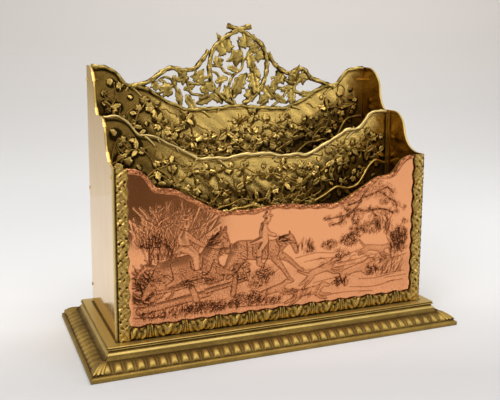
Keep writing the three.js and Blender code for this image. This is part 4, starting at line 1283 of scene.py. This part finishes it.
def scroll_and_pits(relief, middle, inward, seed):
    """Stile pattern along z: pairs of eyes by the inner edge, and leaf blades with hollows between."""
    rng = np.random.default_rng(seed)
    u, v = inward * (relief.x - middle), relief.z
    lift = 1.2 * np.sqrt(unit(1 - (u / 5.3) ** 2))
    lift = lift + 0.15 * np.sin(0.9 * v + 1.2 * u) + 0.1 * np.sin(1.9 * v - 1.4 * u)
    wear_and_shade = np.full_like(lift, 0.80) + 0.06 * np.sin(0.55 * v + 0.8 * u) + 0.05 * np.sin(1.7 * v - u)
    for start in np.arange(7.5, 150, SCROLL_PITCH):
        for (u0, s0), (u1, s1) in BLADES:
            u0, s0, u1, s1 = np.array((u0, s0, u1, s1)) + rng.normal(0, 0.4, 4)
            du, ds = u1 - u0, s1 - s0
            s = v - start
            t = unit(((u - u0) * du + (s - s0) * ds) / (du * du + ds * ds))
            d = np.hypot(u - u0 - t * du, s - s0 - t * ds)
            near = np.exp(-(d / 0.8) ** 2)
            beside = bell(d, 1.6, 0.6)
            lift = lift + 0.32 * near - 0.2 * beside
            wear_and_shade = wear_and_shade + 0.12 * near - 0.2 * beside
        for pu, ps, across, along, turn in PITS:
            jitter = rng.normal(0, 1, 5) * (0.3, 0.5, 0.08, 0.2, 0.3)
            pu, ps, across, along, turn = np.array((pu, ps, across, along, turn)) + jitter
            du, ds = u - pu, v - start - ps
            a = (du * math.cos(turn) + ds * math.sin(turn)) / across
            b = (ds * math.cos(turn) - du * math.sin(turn)) / along
            r = np.hypot(a, b)
            pit = np.exp(-r ** 3.5)
            lift = lift - 0.6 * pit + 0.16 * bell(r, 1.6, 0.4)
            wear_and_shade = wear_and_shade - 0.5 * pit + 0.08 * bell(r, 1.6, 0.4)
    # A groove by the outer edge, sunk and painted dark: painted shade of the slit beside the side plate.
    recess = np.exp(-(np.clip(4.2 + u, 0, None) / 0.9) ** 4)
    relief.lift = lift - 0.9 - 0.5 * recess
    relief.wear_and_shade = np.clip((wear_and_shade - 0.35 * (np.abs(u) / 5.2) ** 4) * (1 - recess), 0.02, 1)


def make_frame():
    """Two stiles and the bottom rail, with scalloped inner edges lapping over the copper."""
    low, high = corners("frame_stile_left")
    for side, sign in (("left", -1), ("right", 1)):
        outer = 129.3
        rows, columns = 520, 44
        z = np.broadcast_to(np.linspace(low[2], high[2], rows)[:, None], (rows, columns))
        inner = 120.3 + 0.75 * np.sin(2 * math.pi * (z - 5.5) / 12.4) * unit((z - 26) / 4)
        t = np.linspace(0, 1, columns)[None, :]
        x = outer - t * (outer - inner)
        if sign < 0:
            relief = Relief(-x, z)
            scroll_and_pits(relief, -125.1, 1, 4)
        else:
            relief = Relief((inner + t * (outer - inner)), z)
            scroll_and_pits(relief, 125.1, -1, 6)
        shell = Shell()
        # The sides of a stile are painted dark, as sides in shade.
        add_field(shell, relief, low[1] + 0.9, high[1], 0.0)
        make_casting(f"stile_{side}", shell, "frame", f"frame_stile_{side}", sharp=70)
    low, high = corners("frame_rail_bottom")
    columns, rows = 1300, 40
    x = np.broadcast_to(np.linspace(-120.2, 120.2, columns), (rows, columns))
    turns = 2 * math.pi * x / TIE_PITCH
    top = 27.6 + 0.7 * np.cos(2 * turns) + 0.25 * np.sin(turns + 1)
    bottom = low[2] + 0.5 + 0.45 * np.cos(2 * turns)
    t = np.linspace(0, 1, rows)[:, None]
    relief = Relief(x, bottom + t * (top - bottom))
    ribbon_and_leaf(relief, 0.5 * (low[2] + 28.0))
    shell = Shell()
    add_field(shell, relief, low[1] + 1.0, high[1], 0.0)
    make_casting("rail_bottom", shell, "frame", "frame_rail_bottom", sharp=70)


# ---------------------------------------------------------------- pierced crest

CROSSED_END = 250  # height in mm where the crossed pair of limbs starts, splayed like cut branches
LIMBS = [
    [(-94, 198), (-80, 202), (-71, 208), (-61, 213.5), (-50, 211.5), (-39, 213.5), (-33, 220),
     (-26.5, 228.5)],
    [(96, 197), (82, 202), (72, 205.5), (65, 213), (58, 213), (51, 209.5), (44, 211.5), (35, 218),
     (29.2, 227.5)],
    [(12, CROSSED_END), (1.5, 246.8), (-10, 241), (-19, 234), (-24, 226), (-26, 215), (-25, 204),
     (-20, 194), (-12, 187),
     (-4, 183)],
    [(-9.5, CROSSED_END), (1.5, 246.8), (12, 241.5), (21, 236), (26, 228), (28, 217), (26, 205), (21, 195),
     (13, 187),
     (5, 183)],
]
TWIGS = [
    [(-52, 180), (-55, 194), (-59, 203), (-65, 206), (-71, 203)],
    [(-49, 211), (-46, 202), (-43, 193), (-38, 191), (-29, 190), (-19, 187), (-14, 183)],
    [(-45, 201), (-34, 200), (-25, 203)],
    [(-72, 192), (-66, 195), (-58, 199)],
    [(-2, 182), (-8, 194), (-5, 206), (4, 214), (4, 226), (0, 238)],
    [(-25, 216), (-16, 215), (-11, 210), (-4, 208)],
    [(-18, 193), (-16, 202), (-19, 209), (-26, 211)],
    [(8, 207), (3, 197), (-4, 188)],
    [(4, 220), (10, 224), (18, 229), (25, 231)],
    [(7, 183), (12, 192), (16, 203), (18, 214)],
    [(39, 212), (36, 199), (30, 188), (22, 181)],
    [(36, 197), (47, 194), (42, 186), (33, 180)],
    [(45, 204), (57, 201), (63, 208), (64, 212)],
    [(57, 202), (55, 194), (53, 182)],
    [(55, 194), (65, 190), (73, 188)],
]
# Leaves of the crest: x, z, length, heading in degrees, kind.
CREST_LEAVES = [
    (-63, 196, 14, 170, "ivy"), (-53, 189, 11, 280, "vine"), (-49, 206, 13, 200, "ivy"),
    (-36, 205, 15, 60, "maple"),
    (-43, 184, 13, 300, "vine"), (-28, 196, 13, 120, "ivy"), (-30, 187, 13, 210, "oak"),
    (-19, 188, 12, 330, "vine"),
    (-44, 197, 9, 20, "vine"), (-73, 199, 9, 200, "ivy"), (-12, 231, 19, 120, "maple"),
    (0, 223, 15, 200, "ivy"),
    (-18, 220, 10, 250, "ivy"), (8, 236, 17, 100, "maple"), (15, 231, 11, 20, "ivy"),
    (20, 225, 11, 330, "ivy"),
    (12, 220, 14, 280, "oak"), (18, 211, 10, 300, "vine"), (1, 199, 17, 245, "oak"),
    (16, 203, 19, 95, "oak"),
    (12, 190, 13, 60, "ivy"), (-8, 193, 13, 250, "ivy"), (-15, 204, 10, 200, "vine"),
    (-4, 213, 9, 160, "vine"),
    (41, 205, 14, 60, "maple"), (35, 198, 13, 250, "vine"), (29, 193, 13, 130, "oak"),
    (26, 186, 12, 200, "ivy"),
    (40, 187, 12, 330, "vine"), (56, 203, 19, 80, "maple"), (53, 189, 14, 270, "oak"),
    (63, 205, 11, 350, "ivy"),
    (48, 196, 10, 200, "vine"), (66, 191, 9, 10, "vine"), (-57, 202, 9, 90, "vine"),
]


def make_crest():
    rng = np.random.default_rng(11)
    plane = 47.0
    branches = Shell()
    for number, limb in enumerate(LIMBS):
        path = smooth_curve([(x, plane - 0.3, z) for x, z in limb], 1.0)
        along = np.arange(len(path))
        swell = 1 + 0.08 * np.sin(along / 3.3 + number) + 0.07 * np.sin(along / 1.4 + 2 * number)
        if limb[0][1] == CROSSED_END:
            swell += 0.2 * bell(along, 1.5, 3.5)
        add_tube(branches, path, 2.05 * swell, sides=16, bark=0.10, phase=number, outlined=True)
    for number, twig in enumerate(TWIGS):
        path = smooth_curve([(x, plane, z) for x, z in twig], 0.9)
        add_tube(branches, path, taper(len(path), 1.45, 1.05), sides=10, bark=0.12, phase=number,
                 outlined=True)
    leaves = Shell()
    for x, z, length, heading, kind in CREST_LEAVES:
        add_leaf(leaves, kind, (x, plane - 0.6, z), 1.15 * length, math.radians(heading),
                 pitch=rng.normal(0, 0.14),
                 roll=rng.normal(0, 0.16), thickness=1.3, curl=rng.uniform(0, 0.2),
                 fold=rng.uniform(-0.25, 0.3),
                 rub_and_shade=0.9)
    for x, z in ((-24, 199), (-70, 203), (33, 205), (-12, 211), (65, 192)):
        for _ in range(4):
            dx, dz = rng.normal(0, 1.1, 2)
            add_ball(leaves, (x + dx, plane - 0.4, z + dz), rng.uniform(0.8, 1.1))
    make_casting("crest_branches", branches, "crest", "back_panel")
    make_casting("crest_leaves", leaves, "crest", "back_panel")


# ---------------------------------------------------------------- studio

VIEW_ACROSS, VIEW_AWAY = 0.384, 0.923  # direction in which the sweep's painted light and shade are laid out, along x and y
HALF_VIEW = 0.358
SHADED_FROM = (0.2263, 0.5271, 0.2117)  # metres left of, in front of and above the origin


def make_sweep():
    """A pale floor that curves up into a wall behind the rack.

    Its colour is painted light and shade: lighter and darker by its rise and distance aside as seen from a
    point in front of the rack, and warmer higher up.
    """
    profile = [(-2.2, 0.0), (-1.0, 0.0), (0.0, 0.0), (0.5, 0.0)]
    bend = 0.75
    profile += [(0.5 + bend * math.sin(a),
                 bend * (1 - math.cos(a))) for a in np.linspace(0.1, math.pi / 2, 14)]
    profile += [(0.5 + bend, 1.6), (0.5 + bend, 2.6)]
    verts = [(x, y, z) for y, z in profile for x in (-1.9, 2.6)]
    faces = [(2 * i, 2 * i + 1, 2 * i + 3, 2 * i + 2) for i in range(len(profile) - 1)]
    mesh = bpy.data.meshes.new("sweep")
    mesh.from_pydata(verts, [], faces)
    mesh.polygons.foreach_set("use_smooth", np.ones(len(faces), bool))
    material, tree, shader = new_material("sweep_paper")
    across, away, up = object_axes(tree)
    # Painted light: the paper is warmer higher up.
    tone = ramp(tree, up, [(0.0, (0.77, 0.77, 0.775)), (0.1, (0.785, 0.775, 0.765)),
                                           (0.25, (0.80, 0.765, 0.735)), (0.62, (0.765, 0.705, 0.66))])
    across, away, up = across + SHADED_FROM[0], away + SHADED_FROM[1], up - SHADED_FROM[2]
    forward = (across * VIEW_ACROSS + away * VIEW_AWAY).math("MAXIMUM", 0.15)
    aside = (across * VIEW_AWAY - away * VIEW_ACROSS) / forward / HALF_VIEW
    rise = (up / forward + 0.6) * 1.25
    # Painted light and shade, by rise and distance aside.
    falloff = ramp(tree, rise, [(0.06, 0.80), (0.151, 0.745), (0.19, 0.76), (0.2425, 0.87), (0.271, 0.93),
                                (0.329, 1.01), (0.48, 1.02), (0.5525, 1.0), (0.625, 0.90), (0.70, 0.85),
                                (0.80, 0.85), (0.86, 0.885)])
    lean = ramp(tree, rise, [(0.151, 0.49), (0.2, 0.45), (0.27, 0.386), (0.33, 0.425), (0.425, 0.5),
                             (0.55, 0.557), (0.70, 0.597), (0.86, 0.67)])
    lean = (lean - 0.5) * aside.math("MAXIMUM", -1.5).math("MINIMUM", 1.5)
    falloff = falloff * (lean + 1.0)
    plug(tree, shader.inputs["Base Color"], mix_colour(tree, 1.0, tone, falloff, "MULTIPLY"))
    shader.inputs["Roughness"].default_value = 0.95
    mesh.materials.append(material)
    sweep = bpy.data.objects.new("sweep", mesh)
    bpy.context.scene.collection.objects.link(sweep)


def reflect_only(card):
    """Stages a card that shows only as a reflection."""
    card.visible_camera = False
    card.visible_diffuse = False
    card.visible_shadow = False


def stand_plane(name, place, scale):
    """An upright plane that faces along y."""
    bpy.ops.mesh.primitive_plane_add(size=1, location=place, rotation=(math.pi / 2, 0, 0))
    plane = bpy.context.object
    plane.name = name
    plane.scale = (*scale, 1)
    return plane


def glowing(name, colour, strength, base=(0, 0, 0), axis=None, scale=1.0, shift=0.0):
    """A glowing material. colour is one value, or ramp stops along an axis that is scaled or shifted."""
    material, tree, shader = new_material(name)
    if axis is None:
        shader.inputs["Emission Color"].default_value = (*colour, 1)
    else:
        place = object_axes(tree)[axis]
        place = place + shift if shift else place * scale
        plug(tree, shader.inputs["Emission Color"], ramp(tree, place, colour))
    shader.inputs["Emission Strength"].default_value = strength
    shader.inputs["Base Color"].default_value = (*base, 1)
    return material, shader


def make_dark_card():
    """A dimly glowing dark card in front of the rack, a painted reflection that shows only in its metal."""
    card = stand_plane("dark_card", (0.008, -0.392, 0.45), (0.135, 0.9))
    stops = [(0.1, (0.085, 0.062, 0.030)), (0.8, (0.20, 0.155, 0.10))]
    material, shader = glowing("card", stops, 0.75, base=(0.02, 0.018, 0.016), axis=0, shift=0.5)
    shader.inputs["Roughness"].default_value = 0.9
    card.data.materials.append(material)
    reflect_only(card)


def add_glow(name, verts, material):
    """A glowing rectangle that only mirror-like surfaces see."""
    mesh = bpy.data.meshes.new(name)
    mesh.from_pydata(verts, [], [(0, 1, 2, 3)])
    mesh.materials.append(material)
    card = bpy.data.objects.new(name, mesh)
    bpy.context.scene.collection.objects.link(card)
    reflect_only(card)


def make_front_wall():
    """The bright end of the room that the panels face, seen only in their reflections."""
    wall = stand_plane("front_wall", (0.7, -2.3, 0.62), (2.9, 1.3))
    wall.data.materials.append(glowing("wall", (1.0, 0.97, 0.93), 0.90)[0])
    reflect_only(wall)


def add_lamp(name, place, size, power, target=(0, 0, 0.1), colour=(1, 1, 1)):
    light = bpy.data.lights.new(name, "AREA")
    light.shape = "RECTANGLE"
    light.size, light.size_y = size
    light.energy = power
    light.color = colour
    lamp = bpy.data.objects.new(name, light)
    lamp.location = place
    lamp.rotation_euler = (Vector(target) - Vector(place)).to_track_quat("-Z", "Y").to_euler()
    bpy.context.scene.collection.objects.link(lamp)


def make_studio():
    scene = bpy.context.scene
    scene.view_settings.view_transform = "Standard"
    world = bpy.data.worlds.new("studio")
    scene.world = world
    world.use_nodes = True
    background = world.node_tree.nodes["Background"]
    background.inputs["Color"].default_value = (1.0, 0.96, 0.91, 1)
    background.inputs["Strength"].default_value = 0.32
    make_sweep()
    make_dark_card()
    dim_side = [(0.0, (0.77, 0.735, 0.68)), (0.17, (0.66, 0.61, 0.55)), (0.33, (0.57, 0.52, 0.43)),
                (0.41, (0.50, 0.44, 0.30)), (0.49, (0.41, 0.345, 0.20)), (1.0, (0.33, 0.28, 0.16))]
    add_glow("left_card", [(-0.7, 0.6, 0), (-0.12, 0.6, 0), (-0.12, 0.6, 0.6), (-0.7, 0.6, 0.6)],
             glowing("left_card", dim_side, 1.0, axis=2, scale=2.5)[0])
    add_glow("left_glow", [(-1.1, -0.3, 0.3), (-1.1, 0.5, 0.3), (-0.8, 0.5, 1.1), (-0.8, -0.3, 1.1)],
             glowing("left_glow", (1.0, 0.95, 0.87), 1.8)[0])
    make_front_wall()
    add_lamp("overhead", (0.1, -0.2, 1.7), (1.7, 1.5), 24, (0.1, 0.1, 0))
    add_lamp("key", (-1.1, -1.0, 1.1), (0.7, 0.9), 11)
    add_lamp("fill", (1.3, -0.9, 0.7), (0.6, 0.9), 5)


# ---------------------------------------------------------------- whole rack

NODE_MATERIALS = {
    "side_plate": "polished", "divider_strip": "strip", "front_strip": "fitting", "back_pin": "fitting",
    "front_pin": "fitting", "base_screw": "steel", "base_nut": "fitting", "base_board": "wood",
    "deck_block": "wood", "baize_pad": "baize", "box_floor": "lining", "front_lining": "lining",
}


def dress_cad_nodes():
    """Gives every CAD node that stays its material, and breaks the sharp edges of the side plates and
    divider strips.
    """
    for name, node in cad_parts.items():
        for prefix, material in NODE_MATERIALS.items():
            if name.startswith(prefix):
                node.data.materials.clear()
                node.data.materials.append(MATERIALS[material])
        if name.startswith(("side_plate", "divider_strip")):
            bevel = node.modifiers.new("edges", "BEVEL")
            bevel.width = (0.35 if name.startswith("side_plate") else 0.7) * MM
            bevel.segments = 2
            bevel.limit_method = "ANGLE"


make_camera()
make_studio()
dress_cad_nodes()
make_mouldings()
make_deck()
make_copper()
make_frame()
for panel in PANELS:
    make_panel(*panel)
make_crest()
